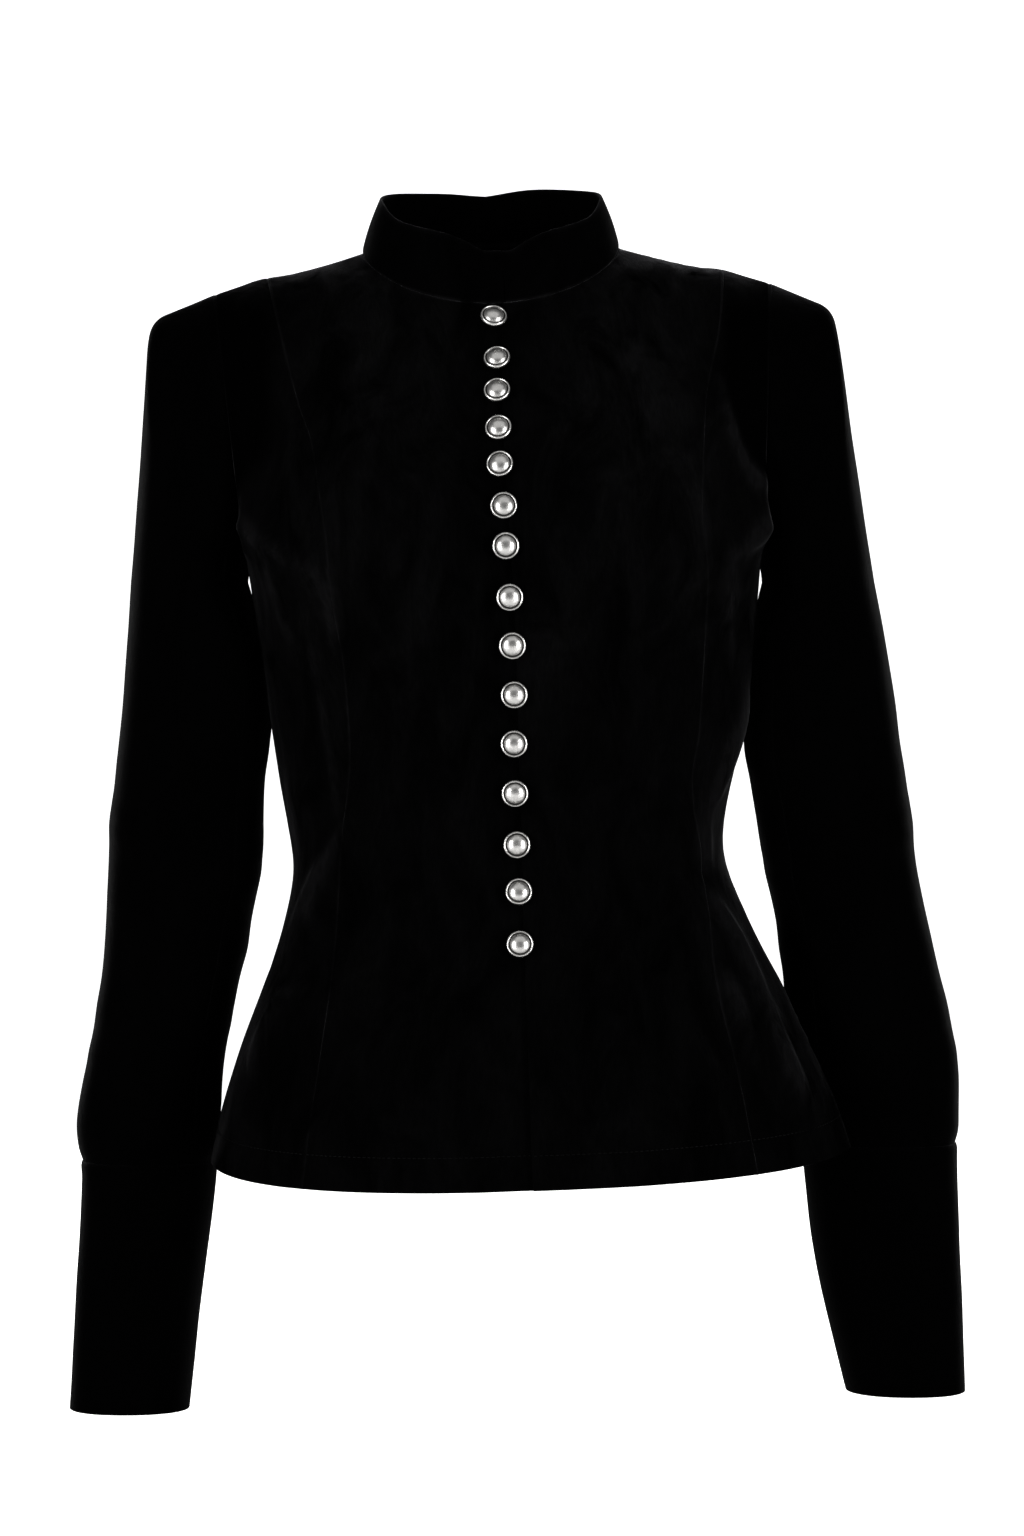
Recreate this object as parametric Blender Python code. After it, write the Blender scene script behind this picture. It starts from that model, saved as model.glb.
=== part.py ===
"""Stand collar coat: a fitted velvet jacket, worn but empty, closed by a row of fifteen domed buttons.

Metres, +Z up. The front faces -Y and the wearer's left is +X. The origin is midway between the two points where the
shoulder seams meet the neckline, which is where the coat hangs on its wearer.
Every cloth piece is a grid laid on one surface and given the cloth's thickness inwards. The tables below are in
millimetres, and MM turns them into metres.
"""
import math
from bisect import bisect_right

import bmesh
import bpy
from mathutils import Matrix, Vector
from mathutils.bvhtree import BVHTree

MM = 0.001

# Cloth and its gaps. Pieces stay a little apart at every seam.
CLOTH = 2.0
SEAM_GAP = 0.5
NECK_GAP = 1.2
ARMHOLE_GAP = 1.0
SLEEVE_CLEARANCE = 1.0
HEM_CLEARANCE = 4.5

# Heights of the body's main lines
ARMPIT = -200.0
HEM_SIDE = -581.0
HEM_DROP = 17.0
HEM_DROP_BACK = 0.7
BICEPS = -216.0
BELOW_ARMPIT = 0.64

# Sections of the body: height, half width, depth of the front, depth of the back, squareness, and how far the worn
# body leans to the wearer's left
TORSO = (
    (-604.0, 214.5, 151.0, 142.0, 2.2, 28.5),
    (-545.0, 197.5, 139.0, 131.0, 2.2, 24.5),
    (-490.0, 173.5, 123.0, 116.0, 2.2, 20.0),
    (-435.0, 149.0, 107.0, 97.0, 2.25, 16.0),
    (-390.0, 139.4, 98.0, 83.0, 2.3, 11.0),
    (-340.0, 147.5, 102.0, 88.0, 2.35, 10.0),
    (-290.0, 156.3, 107.0, 98.0, 2.45, 11.5),
    (-240.0, 162.0, 114.0, 105.0, 2.6, 10.0),
    (-200.0, 166.0, 117.0, 109.0, 2.7, 8.5),
    (-120.0, 166.0, 110.0, 109.0, 2.7, 5.0),
    (0.0, 166.0, 100.0, 100.0, 2.7, 0.0),
    (60.0, 166.0, 100.0, 100.0, 2.7, 0.0),
)
BUST = {"across": 86.0, "height": -188.0, "spread": 50.0, "tall": 62.0, "out": 17.0}

# The body hangs a little higher on the wearer's left: height, degrees
TILT = ((-600.0, 2.0), (-390.0, 1.5), (-100.0, 1.2), (60.0, 1.2))

# Neckline, shoulder seam and armhole, before the lean. The shoulder's rows are distance across and height.
NECK_SIDE = 84.0
NECK_FRONT = 70.0
NECK_BACK = 62.0
NECK_FRONT_DROP = 41.0
NECK_BACK_RISE = 10.0
NECK_SHARE = 0.5
SHOULDER = ((84.0, 0.0), (110.0, -7.6), (135.0, -13.2), (150.0, -14.8), (165.0, -19.5), (181.0, -24.5))
SHOULDER_BACK = 5.0
ARMHOLE_PULL = 300.0

# Seams of the front and back, as they lie on the worn coat: height, distance across
LEFT_PRINCESS = (
    (-597.0, 169.0), (-520.8, 154.3), (-477.0, 143.3), (-421.0, 136.6), (-376.0, 130.4), (-341.0, 128.2),
    (-312.6, 133.0), (-218.6, 136.8), (-172.4, 134.5), (-129.8, 135.4), (-96.5, 137.9), (-52.4, 146.8), (0.0, 151.0),
)
RIGHT_PRINCESS = (
    (-600.0, -118.0), (-565.7, -114.3), (-513.2, -106.6), (-457.5, -99.6), (-372.8, -92.7), (-334.8, -88.8),
    (-293.8, -90.4), (-254.9, -94.6), (-132.3, -113.2), (-108.8, -121.2), (-85.0, -128.0), (0.0, -149.0),
)
BACK_PRINCESS = (
    (-600.0, 112.0), (-500.0, 92.0), (-390.0, 70.0), (-300.0, 86.0), (-200.0, 112.0), (-100.0, 132.0), (0.0, 150.0),
)
CLOSING_EDGE = (
    (-600.0, 26.7), (-457.0, 21.8), (-306.0, 17.4), (-232.0, 15.0), (-199.0, 12.6), (-173.0, 11.3), (-148.0, 9.2),
    (-79.0, 7.3), (-33.0, 7.9), (0.0, 8.0),
)
UNDERLAP = 14.0
UNDERLAP_DEPTH = 3.5
UNDERLAP_RAMP = 38.0

# Largest folds of the front and back: where each starts, bends and ends (across, height), its half width and its
# height
FRONT_FOLDS = (
    (146.0, -92.0, 152.0, -136.0, 168.0, -158.0, 14.0, 3.2),
    (172.0, -176.0, 162.0, -198.0, 140.0, -212.0, 14.0, 3.4),
    (-158.0, -186.0, -146.0, -200.0, -108.0, -222.0, 12.0, 4.0),
    (150.0, -300.0, 132.0, -350.0, 136.0, -398.0, 13.0, 4.0),
    (138.0, -424.0, 160.0, -472.0, 196.0, -558.0, 15.0, 5.5),
    (-100.0, -392.0, -122.0, -440.0, -136.0, -468.0, 16.0, 3.6),
    (-128.0, -470.0, -150.0, -520.0, -155.0, -560.0, 15.0, 5.0),
    (-12.0, -440.0, -30.0, -520.0, -34.0, -590.0, 20.0, 4.0),
    (72.0, -440.0, 84.0, -520.0, 92.0, -590.0, 20.0, 4.0),
)
BACK_FOLDS = (
    (-60.0, -420.0, -78.0, -500.0, -88.0, -585.0, 18.0, 6.0),
    (20.0, -425.0, 26.0, -505.0, 34.0, -585.0, 18.0, 5.5),
    (100.0, -415.0, 122.0, -490.0, 142.0, -580.0, 18.0, 6.0),
    (-112.0, -372.0, -60.0, -392.0, 0.0, -384.0, 11.0, 4.0),
    (112.0, -368.0, 70.0, -398.0, 16.0, -400.0, 11.0, 4.0),
    (-150.0, -190.0, -120.0, -226.0, -76.0, -246.0, 13.0, 4.0),
    (150.0, -186.0, 126.0, -216.0, 84.0, -240.0, 13.0, 4.0),
)

# Stand collar. The top's rows are degrees from the closing edge and height.
COLLAR_TOP_SIDE = 72.0
COLLAR_TOP_FRONT = 62.0
COLLAR_TOP_BACK = 59.0
COLLAR_TOP = (
    (0.0, -7.0), (7.0, -6.8), (15.0, -1.0), (26.0, 5.0), (45.0, 11.5), (60.0, 17.5), (70.0, 24.0), (80.0, 30.5),
    (90.0, 34.5), (110.0, 39.5), (140.0, 43.5), (160.0, 45.0), (180.0, 43.0),
)
COLLAR_CENTRE = 3.0
COLLAR_WAVE = 1.2
COLLAR_SWELL = 1.2

# Sleeves, from the biceps down through the cuff: height, distance across, half width, distance forward, half depth
RIGHT_SLEEVE = (
    (-216.0, -195.6, 37.6, -4.0, 65.0),
    (-250.0, -191.5, 43.5, -7.0, 65.0),
    (-292.5, -190.0, 48.3, -6.0, 63.0),
    (-344.5, -195.3, 48.4, -3.0, 60.0),
    (-396.5, -198.6, 49.7, 1.0, 58.0),
    (-448.7, -205.1, 46.2, 5.0, 54.0),
    (-487.9, -211.2, 44.3, 8.0, 52.0),
    (-527.2, -218.6, 44.4, 11.0, 50.0),
    (-566.5, -223.3, 46.7, 13.0, 49.0),
    (-593.3, -223.3, 44.5, 13.0, 47.0),
    (-605.6, -223.2, 43.7, 12.0, 46.0),
    (-644.4, -225.9, 42.0, 8.0, 44.0),
    (-682.9, -229.4, 40.7, 4.0, 42.0),
    (-751.7, -234.6, 38.9, -3.0, 40.0),
)
LEFT_SLEEVE = (
    (-216.0, 212.0, 36.2, -4.0, 65.0),
    (-250.0, 211.3, 43.4, -7.0, 65.0),
    (-292.5, 213.4, 48.4, -6.0, 63.0),
    (-318.5, 214.6, 50.2, -5.0, 62.0),
    (-344.5, 218.7, 50.4, -3.0, 61.0),
    (-396.5, 226.6, 49.1, 1.0, 59.0),
    (-448.7, 237.3, 49.2, 5.0, 57.0),
    (-487.9, 243.7, 52.1, 8.0, 55.0),
    (-527.2, 249.5, 54.5, 11.0, 53.0),
    (-566.5, 252.3, 52.5, 13.0, 51.0),
    (-581.5, 253.2, 50.8, 13.0, 50.0),
    (-605.6, 254.5, 49.6, 12.0, 48.0),
    (-644.4, 257.1, 47.9, 8.0, 45.0),
    (-682.9, 261.6, 44.9, 4.0, 43.0),
    (-740.3, 269.2, 38.6, -3.0, 41.0),
)
SLEEVE_SQUARENESS = 2.2
CUFF_SEAM = {"right": -593.3, "left": -581.5}
CUFF_END = {"right": -751.7, "left": -740.3}
HEAD_CORNER = {"right": 220.0, "left": 221.5}
HEAD_DROP = 10.0
HEAD_CORNER_DROP = 18.0
HEAD_ROUND = 0.22
HEAD_LEAVE = 0.06
CUFF_TUCK = 1.8
CUFF_TUCK_HEIGHT = 6.0
FRONT_SEAM_ANGLE = 48.0
BACK_SEAM_ANGLE = 296.0

# Folds of a sleeve: angle round it (0 faces the body, 90 the front), height, slant in mm for each turn of 90
# degrees, half width along the arm, reach round the arm in degrees, and height
SLEEVE_FOLDS = (
    (70.0, -352.0, -30.0, 11.0, 55.0, 3.4),
    (110.0, -388.0, 26.0, 12.0, 60.0, 3.6),
    (60.0, -420.0, -22.0, 10.0, 50.0, 3.0),
    (300.0, -470.0, 28.0, 13.0, 60.0, 3.0),
    (100.0, -506.0, 20.0, 12.0, 60.0, 3.2),
)

# Buttons: the centre of each, then how far its face is turned to the wearer's left, in degrees
BUTTONS = (
    (1.8, -52.0, 9.0), (4.4, -79.0, -6.0), (4.5, -100.0, -6.0), (5.4, -124.0, -7.0), (6.3, -147.0, -7.0),
    (8.6, -173.0, -2.0), (9.8, -198.0, 0.0), (12.2, -230.0, 2.0), (13.9, -260.0, 0.0), (15.0, -291.0, 1.0),
    (15.0, -321.5, 0.0), (15.6, -352.5, -1.0), (16.8, -385.0, 0.0), (18.0, -415.0, 1.0), (18.7, -447.5, 0.0),
)
# Half the outline of a button, from the top of the dome to the back of the shank: radius, distance out
BUTTON_PROFILE = (
    (0.0, 5.2), (3.4, 4.7), (5.7, 3.6), (6.5, 2.3), (7.6, 2.9), (8.6, 1.8), (8.0, 0.3), (1.6, 0.0), (1.5, -4.0),
    (0.0, -4.0),
)
BUTTON_SHANK = 4.0
BUTTON_GAP = 0.35
BUTTON_SIDES = 14

# Colours
VELVET = (0.012, 0.011, 0.013, 1.0)
SILVER = (0.55, 0.54, 0.52, 1.0)


def read(table, column, at):
    """The value of one column of a table at a height, along a smooth line through the table's rows."""
    keys = [row[0] for row in table]
    if at <= keys[0]:
        return table[0][column]
    if at >= keys[-1]:
        return table[-1][column]
    i = bisect_right(keys, at) - 1
    last = len(table) - 1

    def slope(k):
        before, after = max(k - 1, 0), min(k + 1, last)
        return (table[after][column] - table[before][column]) / (keys[after] - keys[before])

    span = keys[i + 1] - keys[i]
    t = (at - keys[i]) / span
    a, b = table[i][column], table[i + 1][column]
    return ((2 * t**3 - 3 * t**2 + 1) * a + (t**3 - 2 * t**2 + t) * span * slope(i)
            + (3 * t**2 - 2 * t**3) * b + (t**3 - t**2) * span * slope(i + 1))


def rising(table):
    """The same table with its rows in order of rising height."""
    return tuple(sorted(table))


def mix(a, b, share):
    return a + (b - a) * share


def ease(share):
    """0 to 1 with a soft start and end."""
    t = min(max(share, 0.0), 1.0)
    return t * t * (3 - 2 * t)


def hermite(start, end, leave, arrive, t):
    return (start * (2 * t**3 - 3 * t**2 + 1) + leave * (t**3 - 2 * t**2 + t)
            + end * (3 * t**2 - 2 * t**3) + arrive * (t**3 - t**2))


def lean(point):
    """Moves a point of the upright body to where it hangs on the worn coat."""
    x, y, z = point
    return Vector((x + read(TORSO, 5, z), y, z + x * math.tan(math.radians(read(TILT, 1, z)))))


def fold_height(folds, x, z):
    """How far the folds lift the cloth at a place on the front or back."""
    lift = 0.0
    for x0, z0, x1, z1, x2, z2, spread, rise in folds:
        best = (1e9, 0.0)
        for step in range(13):
            t = step / 12
            px = (1 - t)**2 * x0 + 2 * t * (1 - t) * x1 + t * t * x2
            pz = (1 - t)**2 * z0 + 2 * t * (1 - t) * z1 + t * t * z2
            best = min(best, (math.hypot(x - px, z - pz), t))
        away, t = best
        lift += rise * math.exp(-(away / spread)**2) * (0.35 + 0.65 * math.sin(math.pi * t))
    return lift


def section(face, share, z):
    """A quarter of the body's section: share 0 is the middle of the front or back, 1 the side."""
    angle = share * math.pi / 2
    power = 2 / read(TORSO, 4, z)
    depth = -read(TORSO, 2, z) if face == "front" else read(TORSO, 3, z)
    return Vector((read(TORSO, 1, z) * math.sin(angle)**power, depth * max(math.cos(angle), 0.0)**power, z))


def top_edge(face, share):
    """The neckline and then the shoulder seam, for the half of the body at +X."""
    if share <= NECK_SHARE:
        angle = share / NECK_SHARE * math.pi / 2
        if face == "front":
            return Vector((NECK_SIDE * math.sin(angle), -NECK_FRONT * math.cos(angle),
                           -NECK_FRONT_DROP * math.cos(angle)**1.25))
        return Vector((NECK_SIDE * math.sin(angle), NECK_BACK * math.cos(angle), NECK_BACK_RISE * math.cos(angle)))
    along = (share - NECK_SHARE) / (1 - NECK_SHARE)
    across = mix(NECK_SIDE, SHOULDER[-1][0], along)
    return Vector((across, SHOULDER_BACK * along, read(SHOULDER, 1, across)))


def upper_column(face, share, t):
    """A line of the body from the armpit's level (t 0) up to the neckline or the shoulder seam (t 1)."""
    outward = -1.0 if face == "front" else 1.0
    start, end = section(face, share, ARMPIT), top_edge(face, share)
    below = section(face, share, ARMPIT - 12)
    upright = (start - below) / 12 * 165
    turn = ease((share - 0.62) / 0.38)
    leave = upright.lerp(Vector((0.0, outward * ARMHOLE_PULL, 0.0)), turn)
    if share <= NECK_SHARE:
        arrive = Vector((0.0, -outward * 55.0, 150.0)).lerp(Vector((0.0, -outward * 150.0, 3.0)),
                                                            ease(share / NECK_SHARE))
    else:
        arrive = Vector((0.0, -outward * 150.0, 3.0)).lerp(Vector((6.0, -outward * 190.0, 3.0)),
                                                            ease((share - NECK_SHARE) / 0.4))
    return hermite(start, end, leave, arrive, t)


def body(face, across, up, lift=0.0):
    """The coat's body. Across runs from -1 at the right side to 1 at the left, up from 0 at the hem to 1 at the
    armpit and 2 at the neck and shoulders. Lift moves the point off the cloth's outer face."""
    side = -1.0 if across < 0 else 1.0
    share = min(abs(across), 1.0)
    if up <= 1:
        drop = HEM_DROP if face == "front" else HEM_DROP * HEM_DROP_BACK
        hem = HEM_SIDE - drop * (1 - share**2.2)
        point = section(face, share, mix(hem, ARMPIT, up))
    else:
        point = upper_column(face, share, up - 1)
    x, y, z = point
    outward = -1.0 if face == "front" else 1.0
    if face == "front":
        y -= BUST["out"] * math.exp(-((x - BUST["across"]) / BUST["spread"])**2
                                    - ((z - BUST["height"]) / BUST["tall"])**2) * (1 - share**6)
    placed = lean((side * x, y, z))
    folds = FRONT_FOLDS if face == "front" else BACK_FOLDS
    steep = ease((share - 0.35) / 0.6)
    out = Vector((side * steep, outward * (1.05 - steep), 0.0)).normalized()
    seam_calm = ease((1 - share) / 0.12)
    raised = fold_height(folds, placed.x, placed.z) * seam_calm + lift
    return beside_sleeve(side, placed + out * raised)


def beside_sleeve(side, point):
    """The flared hem gives way where a sleeve hangs against it."""
    x, y, z = point
    if z > -470:
        return point
    table = rising(RIGHT_SLEEVE if side < 0 else LEFT_SLEEVE)
    z_read = max(z, -600.0)
    deep = read(table, 4, z_read) + HEM_CLEARANCE
    away = abs(y - read(table, 3, z_read)) / deep
    if away >= 1:
        return point
    reach = read(table, 2, z_read) * (1 - away**SLEEVE_SQUARENESS)**(1 / SLEEVE_SQUARENESS)
    limit = side * read(table, 1, z_read) - reach - HEM_CLEARANCE
    return Vector((side * min(side * x, limit), y, z))


def across_at(face, up, line, low=-1.0, high=1.0):
    """Where a seam given by heights and distances crosses the body's line at this height."""
    table = rising(line)
    for _ in range(26):
        middle = (low + high) / 2
        point = body(face, middle, up)
        if point.x < read(table, 1, point.z):
            low = middle
        else:
            high = middle
    return (low + high) / 2


def beside(face, up, across, distance):
    """The same place moved along the cloth by a distance in mm, towards +X."""
    step = 0.004
    low, high = max(across - step, -1.0), min(across + step, 1.0)
    length = (body(face, high, up) - body(face, low, up)).length
    return min(max(across + distance * (high - low) / length, -1.0), 1.0)


def sleeve_section(side, angle, z):
    """A sleeve's section: angle 0 faces the body, 90 degrees the front, 180 away from the body."""
    table = rising(RIGHT_SLEEVE if side < 0 else LEFT_SLEEVE)
    c, s = math.cos(angle), math.sin(angle)
    power = 2 / SLEEVE_SQUARENESS
    x = read(table, 1, z) - side * read(table, 2, z) * math.copysign(abs(c)**power, c)
    y = read(table, 3, z) - read(table, 4, z) * math.copysign(abs(s)**power, s)
    return Vector((x, y, z))


def clear_of_body(side, point):
    """Keeps a sleeve's point outside the body beside it."""
    x, y, z = point
    if not BICEPS - 110 < z < ARMPIT:
        return point
    depth = read(TORSO, 2, z) if y < 0 else read(TORSO, 3, z)
    squareness = read(TORSO, 4, z)
    half = read(TORSO, 1, z) * max(1 - (abs(y) / depth)**squareness, 0.0)**(1 / squareness)
    limit = half + side * read(TORSO, 5, z) + SLEEVE_CLEARANCE
    return Vector((side * max(side * x, limit), y, z))


def sleeve(side, angle, down):
    """A sleeve. Down runs from 0 at the armhole to 1 at the biceps, then to 2 at the cuff's seam."""
    name = "right" if side < 0 else "left"
    angle = angle % (2 * math.pi)
    if down >= 1:
        z = mix(BICEPS, CUFF_SEAM[name], down - 1)
        tuck = CUFF_TUCK * math.exp(-((z - CUFF_SEAM[name]) / CUFF_TUCK_HEIGHT)**2)
        return sleeve_fold(side, angle, sleeve_section(side, angle, z), -tuck)
    turn = angle / math.pi if angle <= math.pi else 2 - angle / math.pi
    armhole = body("front" if angle <= math.pi else "back", side, 1 + turn)
    armhole.x += side * ARMHOLE_GAP
    biceps = sleeve_section(side, angle, BICEPS)
    high = ease((turn - 0.35) / 0.6)
    corner = Vector((mix(mix(armhole.x, biceps.x, 0.8), side * HEAD_CORNER[name], high),
                     mix(armhole.y, biceps.y, 0.75),
                     armhole.z - mix(HEAD_DROP, HEAD_CORNER_DROP, high)))
    corner.z = mix(mix(armhole.z, biceps.z, 0.5), corner.z, ease(turn / 0.45))
    in_share = mix(1.0, HEAD_ROUND, high)
    out_share = mix(0.8, HEAD_LEAVE, high)
    enter, leave = corner.lerp(armhole, in_share), corner.lerp(biceps, out_share)
    first, second = mix(0.0, 0.26, high), mix(0.8, 0.56, high)
    if down < first:
        return armhole.lerp(enter, down / first)
    if down > second:
        return clear_of_body(side, leave.lerp(biceps, (down - second) / (1 - second)))
    t = (down - first) / (second - first)
    return clear_of_body(side, enter * (1 - t)**2 + corner * (2 * t * (1 - t)) + leave * t * t)


def sleeve_fold(side, angle, point, extra=0.0):
    """Lifts a sleeve's point by its folds, away from the middle of the arm."""
    degrees = math.degrees(angle)
    lift = extra
    for at, height, slant, spread, reach, rise in SLEEVE_FOLDS:
        round_by = (degrees - at + 180) % 360 - 180
        along = point.z - height - slant * round_by / 90
        lift += rise * math.exp(-(along / spread)**2 - (round_by / reach)**2)
    table = rising(RIGHT_SLEEVE if side < 0 else LEFT_SLEEVE)
    out = Vector((point.x - read(table, 1, point.z), point.y - read(table, 3, point.z), 0.0)).normalized()
    return clear_of_body(side, point + out * lift)


def cuff(side, angle, down):
    """A cuff, from its seam at 0 to its opening at 1."""
    name = "right" if side < 0 else "left"
    z = mix(CUFF_SEAM[name] - SEAM_GAP, CUFF_END[name], down)
    return sleeve_section(side, angle % (2 * math.pi), z)


def collar(angle, up):
    """The stand collar. The angle is 0 at the front and 90 degrees at the wearer's left."""
    s, c = math.sin(angle), math.cos(angle)
    share = math.acos(min(max(abs(c), 0.0), 1.0)) / (math.pi / 2) * NECK_SHARE
    base = top_edge("front" if c > 0 else "back", share)
    base = lean((math.copysign(base.x, s), base.y, base.z + NECK_GAP))
    degrees = abs((math.degrees(angle) - COLLAR_CENTRE + 180) % 360 - 180)
    height = read(COLLAR_TOP, 1, degrees)
    wave = COLLAR_WAVE * math.sin(3 * angle + 0.6) * ease((degrees - 100) / 60)
    depth = COLLAR_TOP_FRONT if c > 0 else COLLAR_TOP_BACK
    top = lean((COLLAR_TOP_SIDE * s, -depth * c, height + wave))
    swell = COLLAR_SWELL * math.sin(math.pi * up)
    return base.lerp(top, up) + Vector((s, -c, 0.0)) * swell


def velvet(name):
    material = bpy.data.materials.new(name)
    material.use_nodes = True
    shader = material.node_tree.nodes["Principled BSDF"]
    shader.inputs["Base Color"].default_value = VELVET
    shader.inputs["Roughness"].default_value = 0.9
    shader.inputs["Metallic"].default_value = 0.0
    return material


def silver(name):
    material = bpy.data.materials.new(name)
    material.use_nodes = True
    shader = material.node_tree.nodes["Principled BSDF"]
    shader.inputs["Base Color"].default_value = SILVER
    shader.inputs["Roughness"].default_value = 0.32
    shader.inputs["Metallic"].default_value = 1.0
    return material


def add_object(name, mesh, material):
    thing = bpy.data.objects.new(name, mesh)
    mesh.materials.append(material)
    bpy.context.scene.collection.objects.link(thing)
    return thing


def cloth_piece(name, surface, columns, rows):
    """A piece of cloth: a grid laid on surface(u, v), u and v from 0 to 1, thickened inwards along the surface's own
    normals, so that two pieces keep their gap at a seam."""
    grid = bmesh.new()
    bmesh.ops.create_grid(grid, x_segments=columns, y_segments=rows, size=0.5)
    inward = {}
    for vertex in grid.verts:
        u, v = vertex.co.x + 0.5, vertex.co.y + 0.5
        along = surface(u + 0.004, v) - surface(u - 0.004, v)
        upward = surface(u, min(v + 0.003, 1.0)) - surface(u, max(v - 0.003, 0.0))
        vertex.co = surface(u, v) * MM
        inward[tuple(vertex.co)] = -along.cross(upward).normalized() * CLOTH * MM
    wall = bmesh.ops.extrude_face_region(grid, geom=grid.faces[:], use_keep_orig=True)
    for item in wall["geom"]:
        if isinstance(item, bmesh.types.BMVert):
            item.co += inward[tuple(item.co)]
    bmesh.ops.recalc_face_normals(grid, faces=grid.faces)
    mesh = bpy.data.meshes.new(name)
    grid.to_mesh(mesh)
    grid.free()
    mesh.shade_smooth()
    mesh.set_sharp_from_angle(angle=math.radians(60))
    return add_object(name, mesh, velvet("velvet_" + name))


def body_height(v):
    """Spreads a body piece's rows evenly from the hem (0) past the armpit (1) to the top (2)."""
    return v / BELOW_ARMPIT if v <= BELOW_ARMPIT else 1 + (v - BELOW_ARMPIT) / (1 - BELOW_ARMPIT)


def body_piece(name, face, edges, columns, rows, lift=None, flip=False):
    """A piece of the body between its edges, which are functions of the height giving a place across. Columns has
    the number of the grid's columns between each edge and the next."""
    found = {}
    stops = [sum(columns[:i]) / sum(columns) for i in range(len(columns) + 1)]

    def surface(u, v):
        up = min(body_height(v), 2 - 0.5 * SEAM_GAP / 150)
        key = round(up, 6)
        if key not in found:
            found[key] = [edge(up) for edge in edges]
        places = found[key]
        share = 1 - u if flip else u
        i = min(max(bisect_right(stops, share + 1e-6) - 1, 0), len(columns) - 1)
        place = mix(places[i], places[i + 1], (share - stops[i]) / (stops[i + 1] - stops[i]))
        return body(face, place, up, lift(place, up) if lift else 0.0)

    return cloth_piece(name, surface, sum(columns), rows)


def seam(face, line, distance):
    """An edge of a piece: a seam's line, moved along the cloth by half the gap at the seam."""
    return lambda up: beside(face, up, across_at(face, up, line), distance)


def underlap_lift(place, up):
    """The right front sinks under the left front's edge by one thickness of cloth."""
    point = body("front", place, up)
    edge = read(rising(CLOSING_EDGE), 1, point.z)
    return -UNDERLAP_DEPTH * ease((point.x - edge + UNDERLAP_RAMP) / (UNDERLAP_RAMP - 2))


def neck_column(low_edge, high_edge, side, share=0.5):
    """A line of the grid that ends at the neck's side, where the neckline meets the shoulder seam."""
    return lambda up: mix(mix(low_edge(up), high_edge(up), share), side * NECK_SHARE, ease(up - 1))


def side_edge(face, side):
    return lambda up: beside(face, up, side, -side * SEAM_GAP / 2)


def build_body():
    half = SEAM_GAP / 2
    mirrored = tuple((z, 2 * read(TORSO, 5, z) - x) for z, x in BACK_PRINCESS)
    right_seam, left_seam = seam("front", RIGHT_PRINCESS, half), seam("front", LEFT_PRINCESS, -half)
    sunk, closing = seam("front", CLOSING_EDGE, -UNDERLAP_RAMP), seam("front", CLOSING_EDGE, 0.0)
    body_piece("right_front", "front",
               (right_seam, neck_column(right_seam, sunk, -1.0), sunk, seam("front", CLOSING_EDGE, -2.0),
                seam("front", CLOSING_EDGE, UNDERLAP)), (3, 3, 2, 1), 21, underlap_lift)
    body_piece("left_front", "front", (closing, neck_column(closing, left_seam, 1.0), left_seam), (5, 3), 21)
    body_piece("right_side_front", "front", (side_edge("front", -1.0), seam("front", RIGHT_PRINCESS, -half)), (6,), 21)
    body_piece("left_side_front", "front", (seam("front", LEFT_PRINCESS, half), side_edge("front", 1.0)), (5,), 21)
    low, high = seam("back", mirrored, SEAM_GAP), seam("back", BACK_PRINCESS, -SEAM_GAP)
    body_piece("back", "back", (low, neck_column(low, high, -1.0, 0.3), neck_column(low, high, 1.0, 0.7), high),
               (2, 7, 2), 21, flip=True)
    body_piece("right_side_back", "back", (side_edge("back", -1.0), seam("back", mirrored, -SEAM_GAP)), (6,), 21,
               flip=True)
    body_piece("left_side_back", "back", (seam("back", BACK_PRINCESS, SEAM_GAP), side_edge("back", 1.0)), (6,), 21,
               flip=True)


def build_sleeves():
    front, back = math.radians(FRONT_SEAM_ANGLE), math.radians(BACK_SEAM_ANGLE)
    gap = SEAM_GAP / 2 / 50
    for side, name in ((-1.0, "right"), (1.0, "left")):
        spans = {"top": (front + gap, back - gap), "under": (back + gap, front + 2 * math.pi - gap)}
        for half_name, (start, end) in spans.items():
            def surface(u, v, start=start, end=end, side=side):
                share = u if side > 0 else 1 - u
                down = (1 - v) / 0.4 if v > 0.6 else 1 + (0.6 - v) / 0.6
                down = min(down, 2 - 0.5 * SEAM_GAP / 370)
                return sleeve(side, mix(start, end, share), down)

            cloth_piece(f"{name}_{half_name}_sleeve", surface, 10 if half_name == "top" else 6, 20)

        def cuff_surface(u, v, side=side):
            share = u if side > 0 else 1 - u
            return cuff(side, mix(back + gap, back + 2 * math.pi - gap, share), 1 - v)

        cloth_piece(f"{name}_cuff", cuff_surface, 18, 4)


def build_collar():
    edge = math.asin(read(rising(CLOSING_EDGE), 1, -30.0) / NECK_SIDE)
    gap = SEAM_GAP / 2 / 65

    def surface(u, v):
        return collar(mix(edge + gap, edge + 2 * math.pi - gap, u), v)

    cloth_piece("stand_collar", surface, 28, 4)


def front_at(x, z):
    """The height up the body and the place across it of a point seen from the front."""
    low, high = 0.0, 2.0
    for _ in range(30):
        up = (low + high) / 2
        across = across_at("front", up, ((-700.0, x), (100.0, x)))
        if body("front", across, up).z < z:
            low = up
        else:
            high = up
    return across, up


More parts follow.
